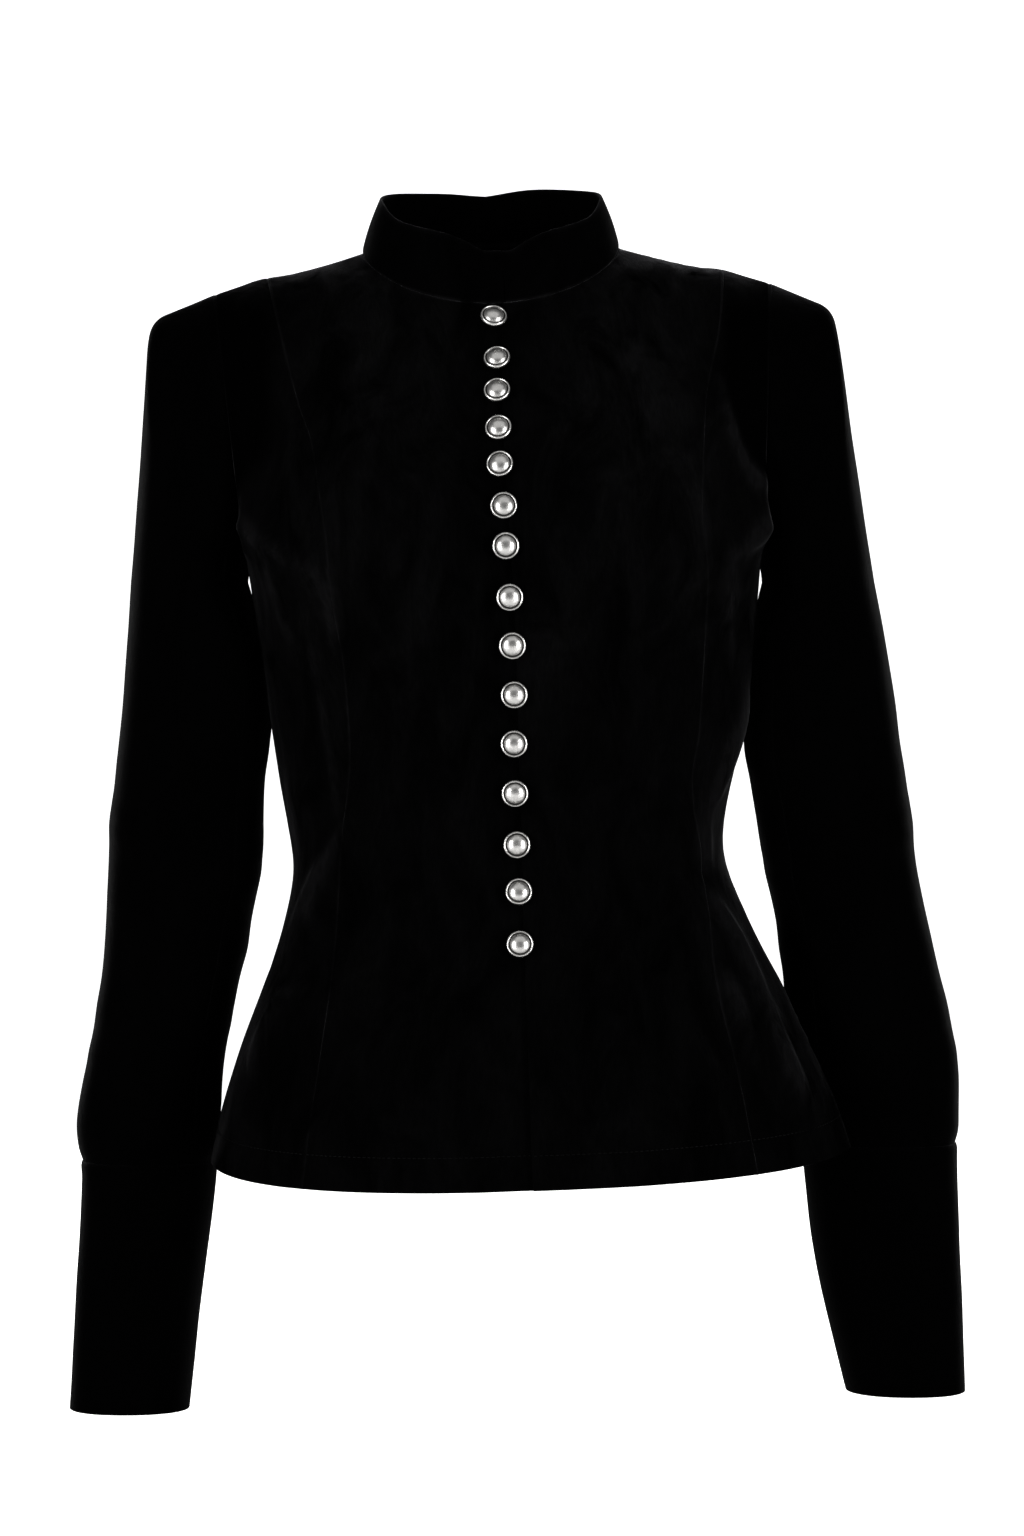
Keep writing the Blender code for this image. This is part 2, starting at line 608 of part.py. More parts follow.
def build_buttons():
    front = bpy.data.objects["right_front"].data
    cloth = BVHTree.FromPolygons([vertex.co for vertex in front.vertices], [face.vertices for face in front.polygons])
    for number, (x, z, turn) in enumerate(BUTTONS, 1):
        across, up = front_at(x, z)
        below, above = body("front", across, up - 0.02), body("front", across, up + 0.02)
        slope = (above - below).normalized()
        outward = Vector((0.0, -1.0, 0.0))
        outward = (outward - slope * outward.dot(slope)).normalized()
        outward = Matrix.Rotation(math.radians(turn), 3, "Z") @ outward
        above_cloth = body("front", across, up) + outward * 20
        met = cloth.ray_cast(above_cloth * MM, -outward)[0]
        seat = met / MM + outward * (BUTTON_GAP + BUTTON_SHANK)

        lathe = bmesh.new()
        ring = [lathe.verts.new((radius * MM, 0.0, out * MM)) for radius, out in BUTTON_PROFILE]
        edges = [lathe.edges.new(pair) for pair in zip(ring, ring[1:])]
        bmesh.ops.spin(lathe, geom=ring + edges, axis=(0, 0, 1), cent=(0, 0, 0), angle=2 * math.pi,
                       steps=BUTTON_SIDES, use_merge=True)
        bmesh.ops.remove_doubles(lathe, verts=lathe.verts, dist=1e-6)
        bmesh.ops.recalc_face_normals(lathe, faces=lathe.faces)
        mesh = bpy.data.meshes.new(f"button_{number}")
        lathe.to_mesh(mesh)
        lathe.free()
        mesh.shade_smooth()
        thing = add_object(f"button_{number}", mesh, silver(f"silver_{number}"))
        thing.matrix_world = Matrix.Translation(seat * MM) @ outward.to_track_quat("Z", "Y").to_matrix().to_4x4()


def main():
    for thing in list(bpy.data.objects):
        bpy.data.objects.remove(thing, do_unlink=True)
    build_body()
    build_sleeves()
    build_collar()
    build_buttons()


main()
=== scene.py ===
"""Stand collar coat, dressed: velvet pieces, top-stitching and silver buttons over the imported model.

Tables are in millimetres, as the coat was measured, and MM turns them into metres. The front faces -Y and the
wearer's left is +X.
"""

import math

import bmesh
import bpy
import numpy as np
from mathutils import Matrix, Vector
from mathutils.bvhtree import BVHTree


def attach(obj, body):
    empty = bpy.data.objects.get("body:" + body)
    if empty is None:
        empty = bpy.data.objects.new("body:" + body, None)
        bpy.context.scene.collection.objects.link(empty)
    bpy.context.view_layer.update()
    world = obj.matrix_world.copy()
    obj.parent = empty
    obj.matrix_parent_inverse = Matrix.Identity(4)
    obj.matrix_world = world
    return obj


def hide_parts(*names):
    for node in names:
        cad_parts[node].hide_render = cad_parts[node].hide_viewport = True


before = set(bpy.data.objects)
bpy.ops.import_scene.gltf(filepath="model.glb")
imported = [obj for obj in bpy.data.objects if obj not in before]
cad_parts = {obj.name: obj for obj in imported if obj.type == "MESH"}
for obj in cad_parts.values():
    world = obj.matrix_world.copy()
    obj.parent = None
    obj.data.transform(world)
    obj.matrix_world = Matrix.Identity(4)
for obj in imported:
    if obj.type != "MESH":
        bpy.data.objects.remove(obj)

bl_info = {
    "name": "Stand collar coat",
    "version": (1, 0, 0),
    "blender": (4, 5, 0),
    "location": "3D View > Sidebar > Coat",
    "description": "Sews the velvet, stitching and buttons of a stand collar coat onto its packed model",
    "category": "Object",
}

MM = 0.001

# The body: the armpit's height, the hem's height at the side and how much lower it hangs in the middle of
# the front, the share of that drop at the back, where the hem's stitching runs as a share of the way up to
# the armpit, and the length of the cloth below and above the armpit
ARMPIT = -200.0
HEM_SIDE = -581.0
HEM_DROP = 17.0
HEM_DROP_BACK = 0.7
HEM_STITCHING = 0.0535
BELOW_ARMPIT = 385.0
ABOVE_ARMPIT = 150.0
# Sections of the body: height, half width, front and back depth, squareness and lean to the wearer's left
TORSO = (
    (-604, 214.5, 151, 142, 2.2, 28.5),
    (-545, 197.5, 139, 131, 2.2, 24.5),
    (-490, 173.5, 123, 116, 2.2, 20),
    (-435, 149, 107, 97, 2.25, 16),
    (-390, 139.4, 98, 83, 2.3, 11),
    (-340, 147.5, 102, 88, 2.35, 10),
    (-290, 156.3, 107, 98, 2.45, 11.5),
    (-240, 162, 114, 105, 2.6, 10),
    (-200, 166, 117, 109, 2.7, 8.5),
    (-120, 166, 110, 109, 2.7, 5),
    (0, 166, 100, 100, 2.7, 0),
    (60, 166, 100, 100, 2.7, 0),
)
# The bust, and how much the body hangs higher on the wearer's left: height, degrees
BUST = {"across": 86, "height": -188, "spread": 50, "tall": 62, "out": 17}
TILT = ((-600, 2), (-390, 1.5), (-100, 1.2), (60, 1.2))

# Neckline, shoulder seam and armhole. The shoulder's rows are distance across and height.
NECK_SIDE = 84.0
NECK_FRONT = 70.0
NECK_BACK = 62.0
NECK_FRONT_DROP = 41.0
NECK_BACK_RISE = 10.0
NECK_SHARE = 0.5
SHOULDER = ((84, 0), (110, -7.6), (135, -13.2), (150, -14.8), (165, -19.5), (181, -24.5))
SHOULDER_BACK = 5.0
# How strongly the body's lines keep the direction in which they leave the armpit's level, below the
# shoulder and beside the armhole
ARMPIT_PULL = 165.0
ARMHOLE_PULL = 300.0
# The same where they reach the neckline, the neck's side and the shoulder: across, towards the body's
# middle, up
NECK_PULL = (0.0, 55.0, 150.0)
CORNER_PULL = (0.0, 150.0, 3.0)
SHOULDER_PULL = (6.0, 190.0, 3.0)

# Seams as they lie on the worn coat: height, distance across
LEFT_PRINCESS = (
    (-597, 169), (-520.8, 154.3), (-477, 143.3), (-421, 136.6), (-376, 130.4), (-341, 128.2),
    (-312.6, 133), (-218.6, 136.8), (-172.4, 134.5), (-129.8, 135.4), (-96.5, 137.9), (-52.4, 146.8),
    (0, 151),
)
RIGHT_PRINCESS = (
    (-600, -118), (-565.7, -114.3), (-513.2, -106.6), (-457.5, -99.6), (-372.8, -92.7), (-334.8, -88.8),
    (-293.8, -90.4), (-254.9, -94.6), (-132.3, -113.2), (-108.8, -121.2), (-85, -128), (0, -149),
)
BACK_PRINCESS = (
    (-600, 112), (-500, 92), (-390, 70), (-300, 86), (-200, 112), (-100, 132),
    (0, 150),
)
CLOSING_EDGE = (
    (-600, 26.7), (-457, 21.8), (-306, 17.4), (-232, 15), (-199, 12.6), (-173, 11.3),
    (-148, 9.2), (-79, 7.3), (-33, 7.9), (0, 8),
)
# How far the right front runs on under the left one, how deep it lies there, and how wide its way down is
UNDERLAP = 14.0
UNDERLAP_DEPTH = 3.5
UNDERLAP_RAMP = 38.0

# Folds of the body: where each starts, bends and ends (across, height), its half width and its height. A
# fold with a negative height is a hollow.
FRONT_FOLDS = (
    (146, -92, 152, -136, 168, -158, 14, 3.2),
    (172, -176, 162, -198, 140, -212, 14, 3.4),
    (-158, -186, -146, -200, -108, -222, 12, 4),
    (150, -300, 132, -350, 136, -398, 13, 4),
    (138, -424, 160, -472, 196, -558, 15, 5.5),
    (-100, -392, -122, -440, -136, -468, 16, 3.6),
    (-128, -470, -150, -520, -155, -560, 15, 5),
    (-12, -440, -30, -520, -34, -590, 20, 4),
    (72, -440, 84, -520, 92, -590, 20, 4),
)
BACK_FOLDS = (
    (-60, -420, -78, -500, -88, -585, 18, 6),
    (20, -425, 26, -505, 34, -585, 18, 5.5),
    (100, -415, 122, -490, 142, -580, 18, 6),
    (-112, -372, -60, -392, 0, -384, 11, 4),
    (112, -368, 70, -398, 16, -400, 11, 4),
    (-150, -190, -120, -226, -76, -246, 13, 4),
    (150, -186, 126, -216, 84, -240, 13, 4),
)
# Finer creases, over the folds. The power says how sharp their crests are.
CREASE_POWER = 1.35
FRONT_CREASES = (
    (148, -88, 158, -124, 179, -156, 5.5, 1.7),
    (180, -166, 176, -192, 157, -199, 5.5, 1.9),
    (160, -196, 142, -214, 146, -246, 7, 1.2),
    (-162, -178, -152, -192, -114, -212, 5, 1.9),
    (-116, -212, -104, -222, -96, -252, 6.5, 1.4),
    (-126, -230, -118, -262, -126, -290, 6, 1.3),
    (166, -292, 150, -334, 138, -366, 5, 2),
    (139, -366, 134, -384, 141, -402, 5, 1.8),
    (139, -412, 156, -448, 178, -490, 5.5, 2.4),
    (178, -488, 188, -526, 204, -553, 6, 2.2),
    (150, -470, 162, -492, 167, -520, 6, 1.6),
    (112, -300, 118, -322, 120, -348, 6, 0.9),
    (-96, -372, -114, -410, -130, -452, 5.5, 2),
    (-124, -468, -146, -502, -152, -530, 6, 1.9),
    (-127, -332, -129, -358, -127, -392, 5, 1.1),
    (-108, -300, -112, -330, -106, -362, 7, -0.9),
    (48, -58, 70, -100, 76, -160, 22, 1.4),
    (-66, -56, -76, -96, -70, -150, 20, 1),
    (-84, -40, -116, -56, -134, -92, 9, 1),
    (92, -34, 122, -48, 140, -74, 9, 1),
    (166, -106, 174, -130, 180, -148, 9, -3.6),
    (-168, -118, -170, -142, -164, -166, 9, -2.6),
    (-62, -352, -40, -362, -8, -356, 9, 0.8),
    (44, -364, 70, -374, 108, -364, 9, 0.9),
    (-70, -392, -44, -400, -14, -396, 8, 0.7),
    (40, -398, 66, -408, 100, -402, 8, 0.8),
)
BACK_CREASES = (
    (-118, -362, -74, -380, -26, -376, 5.5, 1.6),
    (-96, -402, -50, -412, -6, -404, 6.5, 1.4),
    (122, -358, 84, -384, 34, -388, 5.5, 1.7),
    (104, -398, 66, -416, 22, -414, 6.5, 1.3),
    (-156, -182, -128, -214, -88, -232, 5.5, 1.7),
    (156, -178, 132, -206, 96, -228, 5.5, 1.6),
    (-148, -120, -134, -150, -128, -190, 8, 1.5),
    (146, -116, 134, -146, 126, -184, 8, 1.4),
    (-40, -60, -8, -72, 36, -62, 12, 0.9),
    (-66, -440, -84, -510, -98, -574, 6.5, 1.8),
    (12, -446, 16, -510, 24, -576, 6.5, 1.6),
    (96, -432, 116, -500, 136, -570, 6.5, 1.9),
    (-136, -420, -156, -470, -172, -540, 8, 1.6),
)

# The painted highlight along the crest of a fold that drops away on one side: half its width on the gentle
# and on the steep side, the height of a fold with a full painted highlight, and how wide the turn from the
# gentle to the steep side is
CREST_HIGHLIGHT_WIDE = 5.5
CREST_HIGHLIGHT_NARROW = 2.2
CREST_HIGHLIGHT_FULL = 5.0
CREST_TURN = 3.0
# Folds that drop away on one side: start, bend and end as before, the width of the gentle side, the width
# of the steep side, the height, and 1 where the steep side is the one towards +X of a fold that runs down,
# or -1
FRONT_DROPS = (
    (147.8, -92.6, 160, -150, 177, -160, 13, 5.5, 4.6, 1),
    (183, -161, 176, -191, 150, -204, 11, 5, 4.4, 1),
    (151, -204, 147, -230, 154, -268, 12, 8, 2.6, 1),
    (168, -286, 150, -336, 137.4, -366.8, 14, 4.5, 4.2, 1),
    (137.4, -366.8, 134, -384, 137.4, -402, 13, 5, 3.4, 1),
    (138.7, -416, 158, -450, 179.1, -498.3, 15, 5, 4.8, 1),
    (177, -492, 188, -528, 201, -549, 13, 5, 4.2, 1),
    (148, -466, 159, -488, 167, -520, 9, 5, 2.8, 1),
    (-161, -178, -152, -192, -112, -214, 12, 5, 4, -1),
    (-112, -210, -100, -226, -98, -262, 12, 8, 2.4, -1),
    (-144, -200, -134, -232, -123, -268, 12, 7, 2.6, -1),
    (-118, -238, -104, -300, -97, -366, 13, 6, 2.6, -1),
    (-123, -330, -125, -360, -122, -392, 9, 5, 2.4, -1),
    (-93.5, -372, -118, -425, -131, -462, 14, 5, 4, -1),
    (-120, -464, -146, -505, -153, -532, 13, 5, 3.8, -1),
)
BACK_DROPS = (
    (-120, -360, -72, -384, -18, -378, 14, 5, 3.4, 1),
    (124, -356, 80, -388, 28, -392, 14, 5, 3.4, -1),
    (-158, -180, -128, -216, -84, -236, 12, 5, 3.6, 1),
    (158, -176, 132, -208, 92, -232, 12, 5, 3.4, -1),
    (-64, -424, -84, -506, -99, -578, 16, 6, 3.6, -1),
    (16, -430, 18, -508, 26, -578, 16, 6, 3.2, 1),
    (98, -420, 118, -498, 139, -574, 16, 6, 3.8, 1),
)

# Painted shade beside the armholes, where the cloth lies black in shade seen from the front: height, distance
# across from which it is painted dark, and the heights between which it is
PAINTED_SHADE_LEFT = ((-176, 196), (-160, 180), (-140, 166), (-120, 156), (-92, 149), (0, 153))
PAINTED_SHADE_RIGHT = ((-190, -178), (-160, -160), (-132, -140), (-100, -138), (0, -142))

PAINTED_SHADE_FROM = -176.0
PAINTED_SHADE_TO = -14.0

# Lighter patches painted on the velvet, a painted highlight on the tops of the shoulders and uneven tone
# of the pile on the chest, the sides and the back: across, height, half width, half height, how light
FRONT_TONE_AND_HIGHLIGHT = (
    (82, -90, 38, 74, 0.42), (-70, -84, 42, 66, 0.3), (128, -178, 22, 60, 0.34),
    (-112, -196, 22, 48, 0.28), (146, -380, 16, 80, 0.25), (40, -250, 34, 56, 0.14),
    (-46, -236, 30, 50, 0.12), (120, -4, 48, 20, 0.7), (-118, -6, 48, 20, 0.6),
)
BACK_TONE_AND_HIGHLIGHT = (
    (70, -96, 46, 60, 0.4), (-76, -110, 44, 62, 0.4), (0, -300, 60, 70, 0.2),
    (30, -500, 60, 50, 0.2), (110, -10, 44, 26, 0.4), (-110, -12, 44, 26, 0.4),
)
# How light the velvet is painted, from 0 for black to 1: its tone on plain cloth, on the sleeves, cuffs and
# collar, and the painted highlight that the sleeve head, the collar's top edge, the seams and the crests add
TONE_PLAIN = 0.2
TONE_SLEEVE = 0.05
# Painted highlight on the top of each sleeve head: how light, the height below which it fades, and over what
# height
SLEEVE_HEAD_HIGHLIGHT = 0.6
HEAD_HIGHLIGHT_FROM = -14.0
HEAD_HIGHLIGHT_FADE = 17.0
TONE_CUFF = 0.04
TONE_COLLAR = 0.1
COLLAR_EDGE_HIGHLIGHT = 0.6
SEAM_HIGHLIGHT = 0.8
SEAM_HIGHLIGHT_SLEEVE = 0.12
CREST_HIGHLIGHT = 1.15

# Sleeves: where the head ends, how far sleeve and hem stay off the cloth beside them, the gap at the
# armhole (below zero the sleeve reaches in), and how far the sleeve's end is tucked into the cuff. The
# arm's length and the radii turn lengths of cloth into shares of the way along or round it.
BICEPS = -216.0
SLEEVE_CLEARANCE = 1.0
HEM_CLEARANCE = 4.5
HEM_BESIDE_SLEEVE = -470.0
HEM_LOWEST = -600.0
ARMHOLE_GAP = -1.7
CUFF_TUCKED = 1.6
ARM_LENGTH = 370.0
SLEEVE_RADIUS = 50.0
CUFF_RADIUS = 45.0
# Sections of the sleeves: height, distance across, half width, distance forward, half depth
RIGHT_SLEEVE = (
    (-216, -195.6, 37.6, -4, 65),
    (-250, -191.5, 43.5, -7, 65),
    (-292.5, -190, 48.3, -6, 63),
    (-344.5, -195.3, 48.4, -3, 60),
    (-396.5, -198.6, 49.7, 1, 58),
    (-448.7, -205.1, 46.2, 5, 54),
    (-487.9, -211.2, 44.3, 8, 52),
    (-527.2, -218.6, 44.4, 11, 50),
    (-566.5, -223.3, 46.7, 13, 49),
    (-593.3, -223.3, 44.5, 13, 47),
    (-605.6, -223.2, 43.7, 12, 46),
    (-644.4, -225.9, 42, 8, 44),
    (-682.9, -229.4, 40.7, 4, 42),
    (-751.7, -234.6, 38.9, -3, 40),
)
LEFT_SLEEVE = (
    (-216, 212, 36.2, -4, 65),
    (-250, 211.3, 43.4, -7, 65),
    (-292.5, 213.4, 48.4, -6, 63),
    (-318.5, 214.6, 50.2, -5, 62),
    (-344.5, 218.7, 50.4, -3, 61),
    (-396.5, 226.6, 49.1, 1, 59),
    (-448.7, 237.3, 49.2, 5, 57),
    (-487.9, 243.7, 52.1, 8, 55),
    (-527.2, 249.5, 54.5, 11, 53),
    (-566.5, 252.3, 52.5, 13, 51),
    (-581.5, 253.2, 50.8, 13, 50),
    (-605.6, 254.5, 49.6, 12, 48),
    (-644.4, 257.1, 47.9, 8, 45),
    (-682.9, 261.6, 44.9, 4, 43),
    (-740.3, 269.2, 38.6, -3, 41),
)
SLEEVE_SQUARENESS = 2.2
CUFF_SEAM = {"right": -593.3, "left": -581.5}
CUFF_END = {"right": -751.7, "left": -740.3}
HEAD_CORNER = {"right": 220, "left": 221.5}
# The squared head: its drop below the shoulder, there and at the outer corner, how round the corner is, and
# how soon below it the arm hangs straight
HEAD_DROP = 10.0
HEAD_CORNER_DROP = 18.0
HEAD_ROUND = 0.22
HEAD_LEAVE = 0.06
# How far the cuff's seam draws the arm in, and over what height
CUFF_TUCK = 1.8
CUFF_TUCK_HEIGHT = 6.0
# Where the seams of the two-piece sleeve run, in degrees round it
FRONT_SEAM_ANGLE = 48.0
BACK_SEAM_ANGLE = 296.0
# How far from a seam its roll and its painted highlight line reach, and where its gathers start and how
# they fade
SEAM_ROLL = 1.9
SEAM_HIGHLIGHT_WIDTH = 0.9
GATHERS_FROM = 2.0
GATHERS_FADE = 6.5

# Folds of a sleeve: angle round it (0 faces the body, 90 the front), height, slant for each turn of 90
# degrees, half width along the arm, reach round the arm in degrees, and height
SLEEVE_FOLDS = (
    (70, -352, -30, 11, 55, 3.4),
    (110, -388, 26, 12, 60, 3.6),
    (60, -420, -22, 10, 50, 3),
    (300, -470, 28, 13, 60, 3),
    (100, -506, 20, 12, 60, 3.2),
)
SLEEVE_CREASES = (
    (64, -338, -34, 4.5, 42, 1.2),
    (84, -366, 18, 5, 44, 1.3),
    (122, -376, 34, 4.5, 40, 1),
    (52, -404, -26, 5, 46, 1.3),
    (96, -436, 22, 5.5, 48, 1.1),
    (70, -470, -18, 5, 40, 1),
    (124, -528, 16, 6, 44, 0.9),
    (60, -562, -12, 5, 42, 0.9),
    (252, -356, -26, 5, 46, 1.2),
    (286, -396, 22, 5.5, 50, 1.5),
    (262, -432, -24, 5, 46, 1.3),
    (300, -516, 20, 6, 48, 1.1),
    (240, -548, -14, 5.5, 42, 0.9),
    (40, -250, 40, 7, 36, 1.6),
    (320, -256, -36, 7, 34, 1.5),
)

# Stand collar. The top's rows are degrees from the closing edge and height.
NECK_GAP = -0.3
COLLAR_TOP_SIDE = 72.0
COLLAR_TOP_FRONT = 62.0
COLLAR_TOP_BACK = 59.0
COLLAR_TOP = (
    (0, -7), (7, -6.8), (15, -1), (26, 5), (45, 11.5), (60, 17.5), (70, 24), (80, 30.5),
    (90, 34.5), (110, 39.5), (140, 43.5), (160, 45), (180, 43),
)
COLLAR_CENTRE = 3.0
COLLAR_GAP = 0.2
COLLAR_RADIUS = 65.0
COLLAR_WAVE = 1.2
COLLAR_SWELL = 1.2

# Buttons: distance across, height, how far the face is turned to the wearer's left, and how far it is
# tipped up from the cloth, in degrees
BUTTONS = (
    (1.8, -52, 9, 17), (4.4, -79, -6, 12), (4.5, -100, -6, 8), (5.4, -124, -7, 5),
    (6.3, -147, -7, 2), (8.6, -173, -2, 0), (9.8, -198, 0, 0), (12.2, -230, 2, 4),
    (13.9, -260, 0, 3), (15, -291, 1, 9), (15, -321.5, 0, 3), (15.6, -352.5, -1, 0),
    (16.8, -385, 0, 0), (18, -415, 1, 3), (18.7, -447.5, 0, 0),
)
# How far the button's back stands off the cloth, and half of its section: radius, height above its seat,
# and how dark the metal has gone there
BUTTON_SHANK = 4.35
BUTTON_PROFILE = (
    (0, 5.3, 0.05), (1.3, 5.24, 0.05), (2.7, 4.98, 0.05), (3.9, 4.56, 0.08), (4.9, 4.02, 0.12),
    (5.65, 3.42, 0.2), (6.15, 2.85, 0.45), (6.45, 2.35, 0.9), (6.62, 2.05, 1), (6.85, 1.98, 1),
    (7.05, 2.15, 0.9), (7.2, 2.5, 0.4),
    (7.45, 2.8, 0.1), (7.75, 2.9, 0), (8.05, 2.75, 0), (8.33, 2.4, 0), (8.52, 1.9, 0.1), (8.55, 1.3, 0.3),
    (8.35, 0.75, 0.5), (7.9, 0.4, 0.6), (6, 0.15, 0.7), (3, 0.05, 0.8), (1.9, 0, 0.9), (1.6, -0.4, 0.9),
    (1.5, -2.2, 0.9), (1.6, -4.2, 0.9), (0, -4.2, 0.9),
)


# The studio, in metres: the white sweep, the photograph's height at the coat, and the softboxes with their
# place, their size and the setting that holds their power
FLOOR = -0.8
SWEEP_SIDES = (-9.0, 9.0)
SWEEP_FRONT = -9.0
SWEEP_BEND = 8.5
SWEEP_RADIUS = 1.5
WALL_HEIGHT = 4.0
PICTURE_HEIGHT = 0.9984
SENSOR = 36.0
LIGHTS_AIM = (0.0, 0.0, -0.3)
SOFTBOXES = (
    ("softbox_left", (-1.7, -1.5, -0.2), (0.7, 1.6), "side_light"),
    ("softbox_right", (1.7, -1.5, -0.2), (0.7, 1.6), "side_light"),
    ("softbox_back_left", (-1.5, 2.2, -0.1), (0.7, 1.6), "back_light"),
    ("softbox_back_right", (1.5, 2.2, -0.1), (0.7, 1.6), "back_light"),
    ("softbox_top", (0.0, -1.3, 1.7), (3.2, 2.2), "top_light"),
)


def read(table, column, at):
    """One column of a table at a height, along a smooth line through the table's rows."""
    rows = np.array(sorted(table), float)
    keys = rows[:, 0]
    values = rows[:, column]
    count = len(keys)
    before = np.maximum(np.arange(count) - 1, 0)
    after = np.minimum(np.arange(count) + 1, count - 1)
    slopes = (values[after] - values[before]) / (keys[after] - keys[before])
    held = np.clip(at, keys[0], keys[-1])
    i = np.clip(np.searchsorted(keys, held, side="right") - 1, 0, count - 2)
    span = keys[i + 1] - keys[i]
    return hermite(values[i], values[i + 1], slopes[i] * span, slopes[i + 1] * span, (held - keys[i]) / span)


def hermite(start, end, leave, arrive, t):
    """A smooth line from start to end that leaves and arrives in given directions."""
    return (start * (2 * t**3 - 3 * t**2 + 1) + leave * (t**3 - 2 * t**2 + t)
            + end * (3 * t**2 - 2 * t**3) + arrive * (t**3 - t**2))


def mix(a, b, share):
    """From a to b, by a share."""
    return a + (b - a) * share


def ease(share):
    """0 to 1 with a soft start and end."""
    t = np.clip(share, 0.0, 1.0)
    return t * t * (3 - 2 * t)


def points(x, y, z):
    """Points from their three coordinates."""
    return np.stack(np.broadcast_arrays(x, y, z), axis=-1).astype(float)


def unit(vectors):
    """The same directions with length 1."""
    return vectors / np.maximum(np.linalg.norm(vectors, axis=-1, keepdims=True), 1e-9)


def lean(place):
    """Moves points of the upright body to where they hang on the worn coat."""
    x = place[..., 0]
    z = place[..., 2]
    return points(x + read(TORSO, 5, z), place[..., 1], z + x * np.tan(np.radians(read(TILT, 1, z))))


def near_fold(curve, x, z, steps):
    """How far places lie from a fold's curve, how far along it the nearest point is, and how far they lie
    to its side, the one towards +X where it runs down."""
    x0, z0, x1, z1, x2, z2 = curve
    nearest = np.full(np.broadcast(x, z).shape, 1e9)
    along = np.zeros(nearest.shape)
    beyond = np.zeros(nearest.shape)
    stops = np.linspace(0.0, 1.0, steps + 1)
    px = (1 - stops)**2 * x0 + 2 * stops * (1 - stops) * x1 + stops**2 * x2
    pz = (1 - stops)**2 * z0 + 2 * stops * (1 - stops) * z1 + stops**2 * z2
    for k in range(steps):
        dx = px[k + 1] - px[k]
        dz = pz[k + 1] - pz[k]
        t = np.clip(((x - px[k]) * dx + (z - pz[k]) * dz) / (dx * dx + dz * dz), 0.0, 1.0)
        off_x = x - px[k] - t * dx
        off_z = z - pz[k] - t * dz
        away = np.hypot(off_x, off_z)
        closer = away < nearest
        nearest = np.where(closer, away, nearest)
        along = np.where(closer, (k + t) / steps, along)
        beyond = np.where(closer, (dx * off_z - dz * off_x) / np.hypot(dx, dz), beyond)
    return nearest, along, beyond


def fold_height(folds, x, z, steps=24, power=2.0):
    """How far the folds lift the cloth of the front or back. A lower power makes a sharper crest."""
    lift = np.zeros(np.broadcast(x, z).shape)
    for *curve, spread, rise in folds:
        nearest, along, _ = near_fold(curve, x, z, steps)
        lift += rise * np.exp(-(nearest / spread)**power) * (0.35 + 0.65 * np.sin(np.pi * along))
    return lift


def drop_height(folds, x, z, steps=24):
    """How far the folds that drop away on one side lift the cloth, and how much painted highlight lies along
    their crests.
    """
    lift = np.zeros(np.broadcast(x, z).shape)
    crest = np.zeros(lift.shape)
    for *curve, gentle, steep, rise, side in folds:
        nearest, along, beyond = near_fold(curve, x, z, steps)
        turn = ease(side * beyond / CREST_TURN + 0.5)
        length = np.sin(np.pi * mix(0.08, 0.92, along))
        lift += rise * np.exp(-(nearest / mix(gentle, steep, turn))**2) * length
        crest += rise / CREST_HIGHLIGHT_FULL * np.exp(-(nearest / mix(CREST_HIGHLIGHT_WIDE, CREST_HIGHLIGHT_NARROW, turn))**2) * length
    return lift, crest


def tone_and_painted_light_of(face, place, across, crest):
    """How light the velvet is painted, from 0 for black to 1 for the painted highlight on the crest of a
    fold, with its patchy tone, the painted shade beside the armholes and at the sides, and the crest
    highlights.
    """
    x = place[..., 0]
    z = place[..., 2]
    nap = np.full(x.shape, TONE_PLAIN)
    for at, height, wide, tall, light in FRONT_TONE_AND_HIGHLIGHT if face == "front" else BACK_TONE_AND_HIGHLIGHT:
        nap = nap + light * np.exp(-((x - at) / wide)**2 - ((z - height) / tall)**2)
    if face == "front":
        # Painted shade beside the armholes, where the cloth lies in shade
        dark = ease((x - read(PAINTED_SHADE_LEFT, 1, z)) / 6.0 + 0.5) + ease((read(PAINTED_SHADE_RIGHT, 1, z) - x) / 20.0 + 0.5)
        nap = nap * (1 - dark * ease((z - PAINTED_SHADE_FROM) / 16.0) * ease((PAINTED_SHADE_TO - z) / 40.0))
    # Painted shade towards the side seams, beside the sleeves
    nap = nap * mix(0.45, 1.0, ease((1 - np.abs(across)) / 0.1))
    # Painted highlight along the crests of the folds
    return np.clip(nap + CREST_HIGHLIGHT * crest, 0.0, 1.4)


def section(face, share, z):
    """A quarter of the body's section: share 0 is the middle of the front or back, 1 the side."""
    angle = share * np.pi / 2
    power = 2 / read(TORSO, 4, z)
    depth = -read(TORSO, 2, z) if face == "front" else read(TORSO, 3, z)
    return points(read(TORSO, 1, z) * np.sin(angle)**power, depth * np.maximum(np.cos(angle), 0.0)**power, z)


def top_edge(face, share):
    """The neckline and then the shoulder seam, for the half of the body at +X."""
    angle = np.minimum(share / NECK_SHARE, 1.0) * np.pi / 2
    ahead = np.maximum(np.cos(angle), 0.0)
    if face == "front":
        neck = points(NECK_SIDE * np.sin(angle), -NECK_FRONT * ahead, -NECK_FRONT_DROP * ahead**1.25)
    else:
        neck = points(NECK_SIDE * np.sin(angle), NECK_BACK * ahead, NECK_BACK_RISE * ahead)
    along = np.maximum((share - NECK_SHARE) / (1 - NECK_SHARE), 0.0)
    across = mix(NECK_SIDE, SHOULDER[-1][0], along)
    shoulder = points(across, SHOULDER_BACK * along, read(SHOULDER, 1, across))
    return np.where((share <= NECK_SHARE)[..., None], neck, shoulder)


